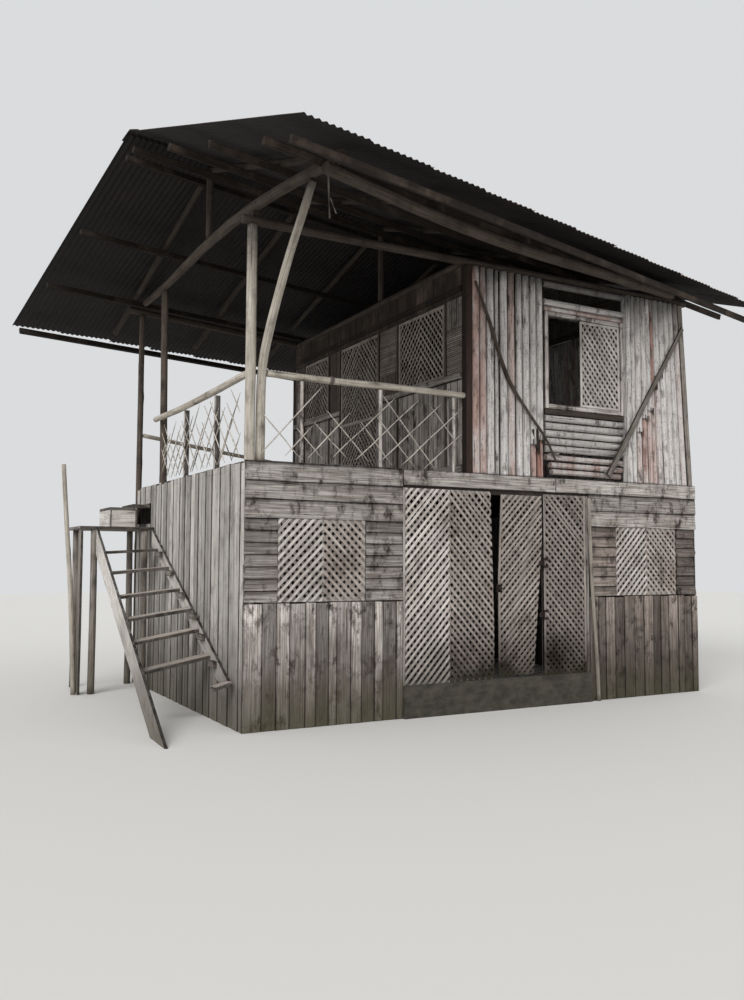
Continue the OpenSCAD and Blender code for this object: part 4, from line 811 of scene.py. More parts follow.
# Deck boards, cut round the posts that pass through: x, y and half width of each cut
deck = {"widths": (0.13, 0.19), "thick": 0.026,
        "posts": ((0.0, 0.0, 0.0606), (-0.0074, 3.217, 0.0512), (-0.055, 4.318, 0.043))}
rng, bm = begin("deck")
x, x1 = leftX + wall + fit, rightX - wall - fit
while x < x1 - 0.02:
    w = min(rng.uniform(*deck["widths"]), x1 - x)
    spans = [(innerFront, rearY(x) - (wall + fit) / cosTurn)]
    for px, py, half in deck["posts"]:
        if x < px + half and x + w > px - half:
            spans = [part for a, b in spans
                     for part in (((a, py - half), (py + half, b)) if a < py < b else ((a, b),))
                     if part[1] - part[0] > 0.1]
    for a, b in spans:
        plank(bm, facing((x + 0.002, a, deckZ - 0.002), toRear, up), w - 0.004, deck["thick"], b - a, rng,
              rng.uniform(0.1, 0.7), wave=0.002, bow=0.001, step=0.5)
    x += w
done(bm, "deckBoards", "deckTimber", "deck")

# Stair: places of the treads from the front, their heights over the yard, and how far they fall to the left
stair = {"innerX": -0.1186, "outerX": -0.8476, "w": 0.034, "landingX": -1.0646, "landingZ": 2.18,
         "landingY": 3.3157, "treadT": 0.038, "run": 3.26, "spread": 0.1, "inner": (0.45, 0.18, 0.53988),
         "outer": (0.0, 0.29, 0.5706), "heights": (0.284, 0.543, 0.762, 0.978, 1.236, 1.47),
         "places": (0.64, 1.04, 1.33, 1.81, 2.3, 2.82), "drop": 0.147, "tread": (0.236, 0.037),
         "cleat": (0.07, 0.042, 0.18)}
landingX, landingY, landingZ = stair["landingX"], stair["landingY"], stair["landingZ"]
splay = math.atan(stair["spread"] / stair["run"])


def treadRun(y):
    return (stair["innerX"] - stair["outerX"] - stair["w"] / math.cos(splay) - 0.006
            + stair["spread"] * (landingY - y) / stair["run"])


# A sloping board with worn edges, cut level at its foot
def stringer(bm, foot, depth, slope, at, rng, tone):
    top = landingZ - stair["treadT"] - fit
    drop = depth * math.sqrt(1 + slope * slope)
    yFoot = landingY - (top - foot) / slope
    count, thick, worn = 24, stair["w"], 0.002
    rings, marks = [], []
    phase = rng.uniform(0, 50)
    for k in range(count + 1):
        t = k / count
        a = Vector((0, yFoot + (landingY - yFoot) * t, foot + (top - foot) * t))
        b = a + Vector((0, drop / slope * (1 - t), -drop * t))
        wave = 0.009 * noise.noise((phase, t * 11, 0)) * (0 < k < count)
        a.z -= abs(wave)
        b.z += wave
        rings.append([at @ Vector((x, p.y, max(foot, p.z + dz))) for p, x, dz in (
            (a, worn, 0), (a, thick - worn, 0), (a, thick, -worn * 2), (b, thick, worn * 2),
            (b, thick - worn, 0), (b, worn, 0), (b, 0, worn * 2), (a, 0, -worn * 2))])
        # the top edge, the underside and the inner face are darkened by marks: painted shade
        marks.append([1.0, 1.0, 0.8, 0.3, 0.7, 0.7, 0.0, 0.1])
    loft(bm, rings, tone, marks, material=1, shift=rng.uniform(0, 50))


rng, bm = begin("stringers")
stringer(bm, *stair["inner"], Matrix.Translation((stair["innerX"], 0, 0)), rng, 0.75)
stringer(bm, *stair["outer"], Matrix.Translation((stair["outerX"], landingY, 0))
         @ Matrix.Rotation(-splay, 4, "Z") @ Matrix.Translation((0, -landingY, 0)), rng, 1.0)
done(bm, "stairStringers", "deckTimber sideBoard", "stair_stringers")

rng, bm = begin("treads")
cleats = begin("cleats")[1]
for i, (place, height) in enumerate(zip(stair["places"], stair["heights"])):
    y = frontY + place
    run = treadRun(y)
    fall = stair["drop"] * (1 - i / 7) / run
    at = (Matrix.Translation((stair["innerX"] - 0.0023 - 0.038 * fall, y, yard + height))
          @ Matrix.Rotation(-math.atan(fall), 4, "Y"))
    plank(bm, at @ facing((0, stair["tread"][0] + 0.002, -0.0005), toLeft, up), *stair["tread"], run - 0.004,
          rng, rng.uniform(0.7, 1.0), wave=0.008, ragged=0.01, bow=0.0, edge=0.004, step=0.12)
    high, thick, length = stair["cleat"]
    top = yard + height - stair["treadT"] * 1.02 - fall * 0.043 - fit
    plank(cleats, facing((stair["innerX"] - thick - fit, y + 0.03, top - high), toRear, toLeft), high, thick,
          length, rng, 0.1, ragged=0.012, bow=0, wave=0.002)
done(bm, "stairTreads", "deckTimber", "stair_treads")
# The lowest tread is gone: a splintered stub of it stays on the inner stringer
plank(cleats, facing((stair["innerX"] - 0.001, frontY + 0.18, 0.5), (-0.96, 0, -0.27), up), 0.16, 0.034, 0.22,
      rng, 0.9, ragged=0.06, bow=0)
done(cleats, "stairCleats", "deckTimber", "stair_cleats")

landing = {"deep": 0.93, "boards": 7, "thick": 0.036}
rng, bm = begin("landing")
w = landing["deep"] / landing["boards"]
for k in range(landing["boards"]):
    plank(bm, facing((leftX - fit, landingY + fit + k * w + 0.003, landingZ - 0.001), toLeft, up), w - 0.006,
          landing["thick"], leftX - fit - landingX, rng, rng.uniform(0.3, 0.7), wave=0.004, ragged=0.012,
          bow=0.001)
done(bm, "landingBoards", "deckTimber", "landing")
print("stair")


# Round poles

def polePiece(name, node, items, material, **look):
    rng, bm = begin(name)
    for points, radii in items:
        pole(bm, points, radii, rng, **look)
    done(bm, name, material, node)


# the front left post darkens towards its top: painted shade
polePiece("frontLeftPost", "front_left_post",
          [([(0, 0, 0), (0.003, -0.003, 1.5), (-0.004, 0.0, 3.4), (0, 0, 5.2697)],
            [0.06, 0.059, 0.056, 0.054])],
          "pole", knots=9, dark=0.8)
polePiece("verandaPosts", "veranda_posts",
          [([(0.008, 3.184, 0), (0.008, 3.184, 0.02), (-0.006, 3.215, 2.6), (-0.022, 3.248, 5.4202)],
            [0.05, 0.05, 0.049, 0.046]),
           ([(-0.055, 4.3184, 0), (-0.056, 4.3184, 2.5), (-0.055, 4.3184, 5.3255)], [0.0425, 0.042, 0.04])],
          "shadedPole", knots=8, sway=0.003, tone=1.0)
# the leaning post darkens towards its top: painted shade
polePiece("leaningPost", "leaning_post",
          [([(0.114, 0, 2.773), (0.114, -0.02, 3.653), (0.124, -0.19, 4.103), (0.144, -0.56, 4.673),
             (0.1653, -0.896, 5.0908), (0.1795, -1.12, 5.3693)], [0.05, 0.049, 0.047, 0.044, 0.041, 0.038])],
          "pole", knots=7, tone=0.62, dark=0.9)
polePiece("landingPosts", "landing_posts",
          [([(x, y, 0), (x + 0.005, y, 1.1), (x, y, 2.1415)], [0.046, 0.044, 0.042])
           for x, y in ((-0.8646, 3.3757), (-0.2043, 3.3757), (-0.9446, 4.1757), (-0.2043, 4.1757))],
          "deckTimber", tone=0.2)
x, y = landingX - 0.01, landingY + 0.1
polePiece("tallPole", "tall_pole", [([(x, y, 0.002), (x - 0.06, y, 1.2), (x - 0.19, y, yard + 2.56)],
                                     [0.033, 0.031, 0.028])], "pole")

# Roof: start of the ridge, depth of the rafters' axis, pitches, rafters along the ridge and how far they
# reach, and the turn of the rafters and of the sheets from the ridge
roof = {"start": Vector((-1.035, 1.165, site["ridgeZ"])), "axis": 0.1181, "width": 8.3794,
        "rearPlateZ": 5.3758, "pitch": {"front": math.radians(18.6), "rear": math.radians(18.4)},
        "length": {"front": 3.63, "rear": 4.29}, "rafters": (1.06, 2.46, 3.86, 5.26, 6.66, 7.56),
        "rafterTurn": math.radians(9.2),
        "reach": {"front": (2.7577, 3.2493, 3.2493, 3.2493, 3.0249, 3.0249), "rear": (3.9075,) * 6},
        "sheetTurn": math.radians(3.9), "cover": 0.76, "sheets": 11, "waves": 10, "steps": 6,
        "waveDeep": 0.018, "purlin": (0.0755, 0.05, 8.339),
        "purlins": {"front": (0.035, 0.30, 0.55, 0.84, 0.965), "rear": (0.05, 0.39, 0.68, 0.965)}}
ridge = Matrix.Translation(roof["start"]) @ Matrix.Rotation(turn, 4, "Z")
slopes = (("front", -1, ridge @ Matrix.Rotation(roof["pitch"]["front"], 4, "X")),
          ("rear", 1, ridge @ Matrix.Rotation(-roof["pitch"]["rear"], 4, "X")))

rearA, rearB = (rearStart + rearAlong * s - rearOut * 0.05 + up * roof["rearPlateZ"]
                for s in (-0.19, rearLength + 0.11))
polePiece("wallPlates", "wall_plates",
          [([(-0.112, 0, plateZ), (2.0, 0.004, plateZ), (4.4, -0.003, plateZ), (6.3907, 0, plateZ)],
            [0.05, 0.049, 0.05, 0.047])]
          + [([(x, 0.0503, plateZ), (x, y, plateZ)], [0.05, 0.048])
             for x, y in ((2.7217, 4.8776), (5.43, 5.5478), (6.2414, 5.7486))]
          + [([rearA, (rearA + rearB) / 2, rearB], [0.048, 0.05, 0.048])], "shadedPole", knots=8, tone=0.3)
polePiece("outerBeam", "outer_beam",
          [([(0.0814, -1.5977, 5.2898), (1.5723, -1.2288, 5.2198), (2.9313, -0.8924, 5.2235),
             (4.2903, -0.5561, 5.2898), (5.1512, -0.3431, 5.3208), (6.0122, -0.13, 5.3518)],
            [0.056, 0.059, 0.06, 0.06, 0.058, 0.052])], "shadedPole", knots=14, sway=0.004, tone=0.5)
polePiece("tieBeam", "tie_beams",
          [([(0.21, -1.6784, 5.4081), (0.2, -1.5084, 5.4081), (0.1825, -1.1776, 5.4486), (0.03, 0, 5.4836),
             (-0.006, 1.4196, 5.5186), (-0.03, 3.184, 5.4719), (-0.055, 4.3467, 5.4728)],
            [0.058, 0.058, 0.058, 0.057, 0.054, 0.05, 0.046])], "shadedPole", knots=14, sway=0.003, tone=0.55)
polePiece("kingPosts", "king_posts",
          [([(x, y, low), (x, y, 6.356)], [0.042, 0.04]) for x, y, low in (
              (-0.006, 1.4196, 5.5729), (2.7217, 2.0923, 5.3703), (5.43, 2.7649, 5.3703),
              (6.2414, 2.9811, 5.3703))],
          "shadedPole", knots=3, sway=0.002, tone=0.4)
rafters = []
for key, side, slope in slopes:
    way = Vector((side * math.sin(roof["rafterTurn"]), side * math.cos(roof["rafterTurn"]), 0))
    rafters += [([slope @ (Vector((s, 0, -roof["axis"])) + way * d) for d in (0.055, reach * 0.5, reach)],
                 [0.038, 0.041, 0.042]) for s, reach in zip(roof["rafters"], roof["reach"][key])]
polePiece("rafters", "rafters", rafters, "shadedPole", knots=6, sway=0.004, sides=12, step=0.16, tone=0.1)

high, thick, length = roof["purlin"]
rng, bm = begin("purlins")
for key, side, slope in slopes:
    for part in roof["purlins"][key]:
        down = part * roof["length"][key]
        at = slope @ Matrix.Translation((side * down * math.tan(roof["sheetTurn"]) + 0.02,
                                         side * down - 0.025, -0.0758))
        plank(bm, at @ facing((0, 0, -high), toRight, toFront), high, thick, length, rng,
              rng.uniform(0.2, 0.6), wave=0.002, bow=0.001, step=0.4, ragged=0.02)
done(bm, "purlins", "roofTimber", "purlins")
print("posts, plates and rafters")


# Corrugated sheets side by side; every second one lies on both neighbours and laps half a wave over them
for (key, side, slope), first in zip(slopes, (0.008, roof["cover"] * math.sin(roof["sheetTurn"]) + 0.008)):
    rng, bm = begin(key + "Sheets")
    lean = -side * roof["sheetTurn"]
    rows = 10
    for i in range(roof["sheets"]):
        across = i * roof["cover"] / math.cos(lean)
        odd = i % 2
        short = rng.uniform(0.0, 0.03)
        lap = 3 * odd
        rings, marks = [], []
        for k in range(rows + 1):
            down = first + (roof["length"][key] - short) * k / rows
            top, low = [], []
            for c in range(-lap, roof["waves"] * roof["steps"] + lap + 1):
                x = roof["cover"] * c / (roof["waves"] * roof["steps"])
                z = roof["waveDeep"] / 2 * (1 - math.cos(2 * math.pi * c / roof["steps"])) + 0.0023 * odd
                z += 0.0035 * noise.noise(((across + x) * 1.5, down * 0.9, 3.0)) * min(1.0, k / 3)
                px = x * math.cos(lean) - down * math.sin(lean) + across
                py = side * (x * math.sin(lean) + down * math.cos(lean))
                top.append(slope @ Vector((px, py, z + 0.002)))
                low.append(slope @ Vector((px, py, z + 0.0006)))
            rings.append(top + low[::-1])
            # the underside gets full marks, near black: painted shade
            marks.append([0.0] * len(top) + [1.0] * len(low))
        loft(bm, rings, rng.uniform(0.2, 0.8), marks, True, 0, rng.uniform(0, 40))
    for edge in bm.edges:
        edge.smooth = edge.calc_face_angle(0.0) < 1.2
    done(bm, key + "Sheets", "sheet", key + "_sheets")

# Boards over the right wall, up to the roof; the gable is seen from inside through the front window
gable = {"x": 6.3117, "y0": 0.056, "y1": 5.8346, "low": 5.3, "peakY": 2.9831, "peak": 6.3632, "front": 5.4083,
         "rear": 5.4424, "widths": (0.12, 0.2)}


def gableTop(y):
    if y < gable["peakY"]:
        t = (y - gable["y0"]) / (gable["peakY"] - gable["y0"])
        return gable["front"] + (gable["peak"] - gable["front"]) * t - gable["low"]
    t = (y - gable["peakY"]) / (gable["y1"] - gable["peakY"])
    return gable["peak"] + (gable["rear"] - gable["peak"]) * t - gable["low"]


rng, bm = begin("right gable")
y = gable["y0"]
while y < gable["y1"] - 0.03:
    w = min(rng.uniform(*gable["widths"]), gable["y1"] - y)
    plank(bm, facing((gable["x"], y, gable["low"]), up, toRight), w - 0.003, 0.019,
          min(gableTop(y), gableTop(y + w)), rng, rng.uniform(0.0, 0.3), wave=0.001, bow=0.001, ragged=0.002)
    y += w
done(bm, "rightGable", "deckTimber", "right_gable")

# Ridge cap: five bent sheets that lap
cap = {"pieces": 5, "lap": 0.19, "over": 0.08, "top": 0.0226, "thick": 0.001}
rng, bm = begin("ridge cap")
a, b, lap = roof["pitch"]["front"], roof["pitch"]["rear"], cap["lap"]
for k in range(cap["pieces"]):
    rings, marks = [], []
    x0 = roof["width"] * k / cap["pieces"]
    x1 = min(roof["width"], roof["width"] * (k + 1) / cap["pieces"] + cap["over"])
    for n in range(7):
        x = x0 + (x1 - x0) * n / 6
        dent = 0.004 * noise.noise((x * 3, k, 0.5))
        faces = []
        for h in (cap["top"] + 0.003 * (k % 2), cap["top"] - cap["thick"] + 0.003 * (k % 2)):
            crest = h / math.cos(a)
            faces.append([ridge @ Vector((x, y, z)) for y, z in (
                (-lap * math.cos(a) - h * math.sin(a), -lap * math.sin(a) + h * math.cos(a) + dent),
                (-0.03, crest - 0.008), (0, crest), (0.03, crest - 0.008),
                (lap * math.cos(b) + h * math.sin(b), -lap * math.sin(b) + h * math.cos(b) + dent))])
        rings.append(faces[0] + faces[1][::-1])
        # the underside gets full marks, near black: painted shade
        marks.append([0.0] * 5 + [1.0] * 5)
    loft(bm, rings, rng.uniform(0.3, 0.8), marks, shift=rng.uniform(0, 30))
done(bm, "ridgeCap", "sheet", "ridge_cap")
print("roof")

# Room over the right part of the deck

culms = {"y": frontY + 0.044, "low": deckZ + fit, "high": deckZ + 2.4997, "pitch": 0.082, "radius": 0.044,
         "lean": 0.14, "tones": (0.36, 0.42, 0.46, 0.5, 0.5, 0.56, 0.68)}
culmY, culmLow, culmHigh = culms["y"], culms["low"], culms["high"]

# Front culms left and right of the window, from one end in X to the other, with the lean that they reach.
# Each has its half width, the gap to the next, its tone and, where its foot is broken, the height of the
# break and the half width and tone of a thinner culm set back below it
stretches = {
    "left": {"ends": (2.7707, 3.8457), "lean": 0.0, "plan": (
        (0.052, 0.008, 0.74), (0.046, 0.008, 0.7), (0.055, 0.016, 0.5), (0.026, 0.026, 0.3),
        (0.052, 0.008, 0.48), (0.052, 0.02, 0.68), (0.046, 0.012, 0.5), (0.05, 0.014, 0.5),
        (0.046, 0.01, 0.47, 0.40, 0.038, 0.72), (0.048, 0.0, 0.5, 0.46, 0.04, 0.82))},
    "right": {"ends": (5.1707, 6.3324), "lean": culms["lean"], "plan": (
        (0.030, 0.008, 0.15), (0.044, 0.010, 0.5), (0.036, 0.012, 0.46),
        (0.050, 0.010, 0.52, 0.68, 0.04, 0.6), (0.048, 0.008, 0.5, 0.87, 0.036, 0.75),
        (0.040, 0.012, 0.48, 0.98, 0.034, 0.7), (0.028, 0.010, 0.78, 1.30, 0.03, 0.66),
        (0.052, 0.008, 0.5, 1.46, 0.044, 0.56), (0.048, 0.010, 0.5), (0.050, 0.010, 0.44),
        (0.045, 0.022, 0.42), (0.044, 0.0, 0.6))}}


def frontCulms(bm, rng, stretch):
    x0, x1 = stretch["ends"]
    x = x0
    tall = culmHigh - culmLow
    for r, gap, tone, *broken in stretch["plan"]:
        lean = stretch["lean"] * (x - x0) / (x1 - x0)
        foot, lowR, lowTone = broken or (0.0, 0.0, 0.0)
        bamboo(bm, (x + r - lean * foot / tall, culmY, culmLow + foot),
               (x + r - lean, culmY, culmHigh - 0.002), r, rng, tone, 16, endRadius=r * 0.94,
               flat=min(1.0, 0.043 / r))
        if broken:
            high = foot + 0.12
            bamboo(bm, (x + r, culmY + 0.006, culmLow),
                   (x + r - lean * high / tall, culmY + 0.009, culmLow + high), lowR, rng, lowTone, 14, 0.4)
            for n in range(3):  # splinters at the broken foot
                z = culmLow + foot - rng.uniform(0.02, 0.06)
                at = facing((x + r * (0.3 + 0.6 * n), culmY - 0.041, z), (rng.uniform(-0.04, 0.04), 0, 1),
                            toFront)
                plank(bm, at, 0.012, 0.006, 0.1, rng, 0.5, ragged=0.03, material=1)
        x += 2 * r + gap


rng, bm = begin("frontBambooLeft")
frontCulms(bm, rng, stretches["left"])
# A torn dark flap across the broken feet by the window
plank(bm, facing((3.73, frontY + 0.0035, deckZ + 0.62), (0.22, 0, -1), toFront), 0.09, 0.01, 0.34, rng, 0.1,
      wave=0.012, ragged=0.05, taper=0.03, material=1)
done(bm, "frontBambooLeft", "culm shadedPole", "front_bamboo_left")
rng, bm = begin("frontBambooRight")
frontCulms(bm, rng, stretches["right"])
done(bm, "frontBambooRight", "culm shadedPole", "front_bamboo_right")

# Culms of the right and rear walls: ends in plan, height of the tops, lean at both ends, upper half width
x = rightX - culms["radius"]
rearEnds = [(rearStart + rearAlong * s - rearOut * 0.068).xy for s in (2.9679, 6.5732)]
for name, node, (a, b), high, (leanA, leanB), endRadius in (
        ("rightBamboo", "right_bamboo", (Vector((x, 0.0343)), Vector((x, 5.832))), culmHigh,
         (culms["lean"],) * 2, 0.044),
        ("rearBamboo", "rear_bamboo", rearEnds, 5.3235, (0.0, culms["lean"]), 0.038)):
    rng, bm = begin(name)
    count = int((b - a).length / culms["pitch"])
    for i in range(count):
        t = (i + 0.5) / count
        base = a.lerp(b, t)
        lean = leanA + (leanB - leanA) * t
        tone = rng.choice(culms["tones"])
        bamboo(bm, (base.x, base.y, culmLow), (base.x - lean, base.y, high - 0.002),
               culms["radius"] * rng.uniform(0.94, 1.0), rng, tone, 10,
               endRadius=endRadius * rng.uniform(0.94, 1.0))
    done(bm, name, "culm", node)

# Window: level culms and a stained sill board under it, culms over it, a frame with one sash
window = {"left": 3.8497, "w": 1.317, "sill": deckZ + 0.87, "h": 1.23, "frame": 0.06, "sash": 0.56,
          "rim": 0.032, "below": {"count": 5, "first": 0.1186, "pitch": 0.096, "radius": 0.0425,
                                  "tones": (0.2, 0.26, 0.32)}}
x0, x1 = window["left"], window["left"] + window["w"]
sill, f, h = window["sill"], window["frame"], window["h"]
top = sill + h
below = window["below"]
rng, bm = begin("window culms")
for k in range(below["count"]):
    z = sill - below["first"] - below["pitch"] * k
    bamboo(bm, (x0, culmY, z), (x1 - rng.uniform(0.0, 0.02), culmY, z), below["radius"], rng,
           rng.choice(below["tones"]), 16, 0.5)
# the top culm, right under the roof, is toned black with heavy marks: painted shade
for z, r, tone, dirtAndShade in ((top + 0.037, 0.036, 0.7, 0.1), (top + 0.12, 0.045, 0.36, 0.1),
                         (5.224, 0.045, 0.0, 0.6)):
    bamboo(bm, (x0, culmY, z), (x1, culmY, z), r, rng, tone, 16, 0.5, dirtAndShade=dirtAndShade)
# Broken lengths under the level culms: height over the deck, what is missing at each end, half width, tone
for z, a, b, r, tone in ((0.262, 0.02, 0.02, 0.036, 0.62), (0.168, 0.09, 0.03, 0.037, 0.72),
                         (0.082, 0.11, 0.06, 0.036, 0.66)):
    bamboo(bm, (x0 + a, culmY, deckZ + z), (x1 - b, culmY + 0.006, deckZ + z - 0.012), r, rng, tone, 14, 0.6,
           dirtAndShade=0.15)
for n in range(7):
    at = facing((x0 + (0.03 if n > 4 else 0.9 + 0.05 * n), culmY - 0.03 - 0.002 * n,
                 deckZ + 0.09 + 0.035 * n),
                (1, 0, rng.uniform(-0.12, 0.12)), toFront)
    plank(bm, at, 0.014, 0.006, rng.uniform(0.14, 0.26), rng, rng.uniform(0.3, 0.6), wave=0.008, ragged=0.05,
          bow=0.006, step=0.05)
done(bm, "windowCulms", "culm", "window_poles")
rng, bm = begin("sill board")
plank(bm, facing((x1, culmY - 0.032, sill - 0.0723), toLeft, toFront), 0.07, 0.06, window["w"], rng, 0.35,
      wave=0.003)
done(bm, "windowSillBoard", "shadedPole")

rng, bm = begin("window frame")
for x in (x0, x1 - f):
    plank(bm, onFront(x, sill, 0.004), f, 0.08, h, rng, 0.8, wave=0.002, bow=0.001)
for z in (sill, top - f):
    plank(bm, facing((x1 - f, frontY + 0.006, z), toLeft, toFront), f, 0.076, window["w"] - 2 * f, rng, 0.75,
          wave=0.002, bow=0.001)
done(bm, "windowFrame", "wallBoard", "front_window_frame")

rng, bm = begin("sash")
w, h = window["sash"] * (window["w"] - 2 * f), h - 2 * f - 2 * fit
at = onFront(x1 - f - w - fit, sill + f + fit, 0.02)
# back laths toned lower than the front laths: painted shade behind the front layer
lattice(bm, at, sheetOutline(w, h), [(0, w, -1, (0.5, 0.65, 0), (0.2, 0.35, 0))], rng, 0.082, 0.03, 0.003,
        1.25)
rim(bm, at, w, h, window["rim"], (-0.004, 0.003), rng, 0.75, 0.7)
done(bm, "windowSash", "lath", "front_window_sash")

# Two braces in front of the culms, a crooked round one on the left and a flat one on the right
rng, bm = begin("braces")
y = frontY - 0.0263
pole(bm, [(roomLeft + x, y, z) for x, z in ((0.1, 5.07), (0.3, 4.62), (0.56, 3.97), (0.86, 3.58),
                                            (1.15, 3.25), (1.3, 2.99))],
     [0.015, 0.02, 0.026, 0.018, 0.014, 0.012], rng, 0.6, 10, 0.06, 0.12, 0.0, 6, material=1)
a, b = Vector((rightX - 0.21, y - 0.008, deckZ + 2.17)), Vector((4.8407, y - 0.008, deckZ + 0.06))
plank(bm, facing(a, (b - a).normalized(), toFront) @ Matrix.Translation((-0.026, 0, 0)), 0.052, 0.024,
      (b - a).length, rng, 0.0, wave=0.008, ragged=0.02, taper=-0.014, bow=0.004)
done(bm, "frontBraces", "deckTimber shadedPole", "front_braces")

# Squared corner posts, upright on the left and leaning in on the right
posts = {"size": 0.09, "tall": 2.4994, "left": ((2.7217, -0.015), (2.7217, 4.9756)),
         "right": ((6.3814, -0.015), (6.3814, 5.8813))}
size, tall = posts["size"], posts["tall"]
lean = math.atan(culms["lean"] / tall)
sink = size * math.sin(lean)
rng, bm = begin("room posts")
for x, y in posts["left"]:
    plank(bm, facing((x - size / 2, y - size / 2, culmLow), up, toFront), size, size, tall, rng, 0.5,
          wave=0.002, edge=0.004, bow=0.001)
for x, y in posts["right"]:
    at = Matrix.Translation((x + size / 2, y - size / 2, culmLow + sink)) @ Matrix.Rotation(-lean, 4, "Y")
    plank(bm, at @ facing((-size, 0, 0), up, toFront), size, size, (tall - sink - 0.001) / math.cos(lean),
          rng, 0.3, wave=0.002, edge=0.004, bow=0.001, material=1)
done(bm, "roomPosts", "darkPost deckTimber", "room_posts")
print("front of the room")

# Side wall of the room, in the veranda's shade; an opening has its front end, width and sill
side = {"y0": 0.0303, "y1": 4.9303, "head": 2.1301, "panel": 2.1391, "rim": 0.04,
        "openings": ((0.4057, 1.11, 1.21), (2.0857, 1.14, 0.0), (3.6657, 0.85, 1.21)),
        "slats": (0.36, 1.53, 2.04, 3.24, 3.62, 4.53), "slat": 0.045,
        "band": {"high": 0.36, "widths": (0.16, 0.24), "rail": 0.07, "railLength": 4.9}}
sideFront, sideRear = side["y0"], side["y1"]


def sideAt(y, z, inset=0.0):
    return facing((roomLeft + inset, y, deckZ + fit + z), up, toLeft)


def alongSide(out, y, z):
    return facing((roomLeft - out, y, deckZ + z), toRear, toLeft)


# Boards from y1 forward to y0 and from z0 up to z1
rng, bm = begin("side wall")
for y0, y1, z0, z1, tones, material, widths in (
        (sideFront, 2.0857, 0.0, 1.13, (0.15, 0.6), 0, (0.1, 0.15)),
        (3.2257, sideRear, 0.0, 1.13, (0.15, 0.6), 0, (0.1, 0.15)),
        (sideFront, 0.4057, 1.78, side["panel"], (0.0, 0.35), 0, (0.03, 0.05)),
        (1.5157, 2.0857, 1.21, 1.5, (0.4, 0.9), 2, (0.1, 0.15)),
        (3.2257, 3.6657, 1.21, side["panel"], (0.2, 0.7), 2, (0.1, 0.15)),
        (4.5157, sideRear, 1.21, side["panel"], (0.2, 0.7), 2, (0.1, 0.15))):
    y = y1
    while y > y0 + 0.02:
        w = min(rng.uniform(*widths), y - y0)
        plank(bm, sideAt(y, z0, rng.uniform(0.002, 0.006)), w - 0.003, 0.01, z1 - z0, rng,
              rng.uniform(*tones), wave=0.002, bow=0.001, material=material)
        y -= w
# Woven panels, with loose strips across them
for y0, y1, z0, z1 in ((sideFront, 0.4057, 1.21, 1.78), (1.5157, 2.0857, 1.5, side["panel"])):
    at = sideAt(y1, z0, 0.004)
    cutFlat(bm, at, sheetOutline(y1 - y0, z1 - z0), 0.003, 0.006, (1, 0), 0.5, 2.0, 1)
    z = 0.004
    while z < z1 - z0 - 0.02:
        band(bm, at, rng.uniform(0.0, 0.02), z, y1 - y0 - rng.uniform(0.0, 0.02), z + 0.013, (-0.001, 0.003),
             rng, rng.uniform(0.0, 0.45), 3)
        z += 0.024 + rng.uniform(-0.003, 0.003)
for y0, y1 in ((sideFront, 2.0857), (3.2257, sideRear)):
    plank(bm, alongSide(0.03, y0, 1.135), 0.075, 0.045, y1 - y0, rng, 0.25, wave=0.004)
    plank(bm, alongSide(0.016, y0, 0.02), 0.09, 0.03, y1 - y0, rng, 0.2, wave=0.004)
for y in side["slats"]:
    plank(bm, sideAt(y + side["slat"], 0.0, -0.012), side["slat"], 0.02, side["panel"], rng, 0.5, wave=0.002,
          material=2)
done(bm, "sideWallPanel", "wallBoard mat shadedBoard dampLath", "side_wall_panel")

rng, bm = begin("side lattices")
for y, w, foot in side["openings"]:
    tall = side["head"] - foot - 2 * fit
    at = sideAt(y + w - fit, foot + fit, 0.004)
    # back laths toned near black: painted shade behind the front layer
    lattice(bm, at, sheetOutline(w, tall), [(0, w / 2, 1, (0.4, 0.6, 0), (0.0, 0.05, 0)),
                                            (w / 2, w, -1, (0.4, 0.6, 0), (0.0, 0.1, 0))],
            rng, 0.09, 0.021, 0.003, 1.12)
    rim(bm, at, w, tall, side["rim"], (-0.006, 0.003), rng, 0.4, 0.35)
    if foot == 0:  # the doorway has a rail at half height
        band(bm, at, side["rim"], 0.95, w - side["rim"], 0.99, (-0.006, 0.003), rng, 0.5)
done(bm, "sideLattices", "dampLath", "side_lattices")

rng, bm = begin("side band")
y = sideRear
while y > sideFront + 0.02:
    w = min(rng.uniform(*side["band"]["widths"]), y - sideFront)
    plank(bm, sideAt(y, side["panel"] + fit, rng.uniform(0.0, 0.004)), w - 0.003, 0.018, side["band"]["high"],
          rng, rng.uniform(0.3, 0.9))
    y -= w
plank(bm, alongSide(0.02, sideFront, side["panel"] + 0.06), side["band"]["rail"], 0.02,
      side["band"]["railLength"], rng, 0.1)
done(bm, "sideWallBand", "roofTimber", "side_wall_band")
print("side of the room")

# A broken strip that hangs loose from the tie beam
rng, bm = begin("loose strip")
plank(bm, facing((0.205, -1.43, 5.362), (0.06, 0.02, -1), toFront), 0.036, 0.008, 0.46, rng, 0.35, wave=0.006,
      ragged=0.0, bow=0.004, taper=0.014, step=0.06)
plank(bm, facing((0.22, -1.433, 5.1), (0.42, 0, -1), toFront), 0.012, 0.006, 0.16, rng, 0.35, wave=0.01,
      ragged=0.02, step=0.05)
done(bm, "looseStrip", "deckTimber")

# Veranda rails

polePiece("railPoles", "rail_poles",
          [([(0.17, -0.03, 3.7), (0.9, -0.032, 3.692), (1.7, -0.026, 3.7), (2.6727, -0.02, 3.694)],
            [0.038, 0.038, 0.037, 0.035]),
           ([(-0.022, 0.064, 3.69), (-0.04, 1.2, 3.66), (-0.062, 2.2, 3.642), (-0.1026, 3.184, 3.64),
             (-0.1026, 3.294, 3.64)], [0.038, 0.04, 0.038, 0.037, 0.036]),
           ([(-0.0045, 4.3104, 3.55), (1.3, 4.65, 3.42), (2.6637, 4.9645, 3.3)], [0.03, 0.029, 0.028])],
          "pole", knots=10, sway=0.002, tone=0.75)

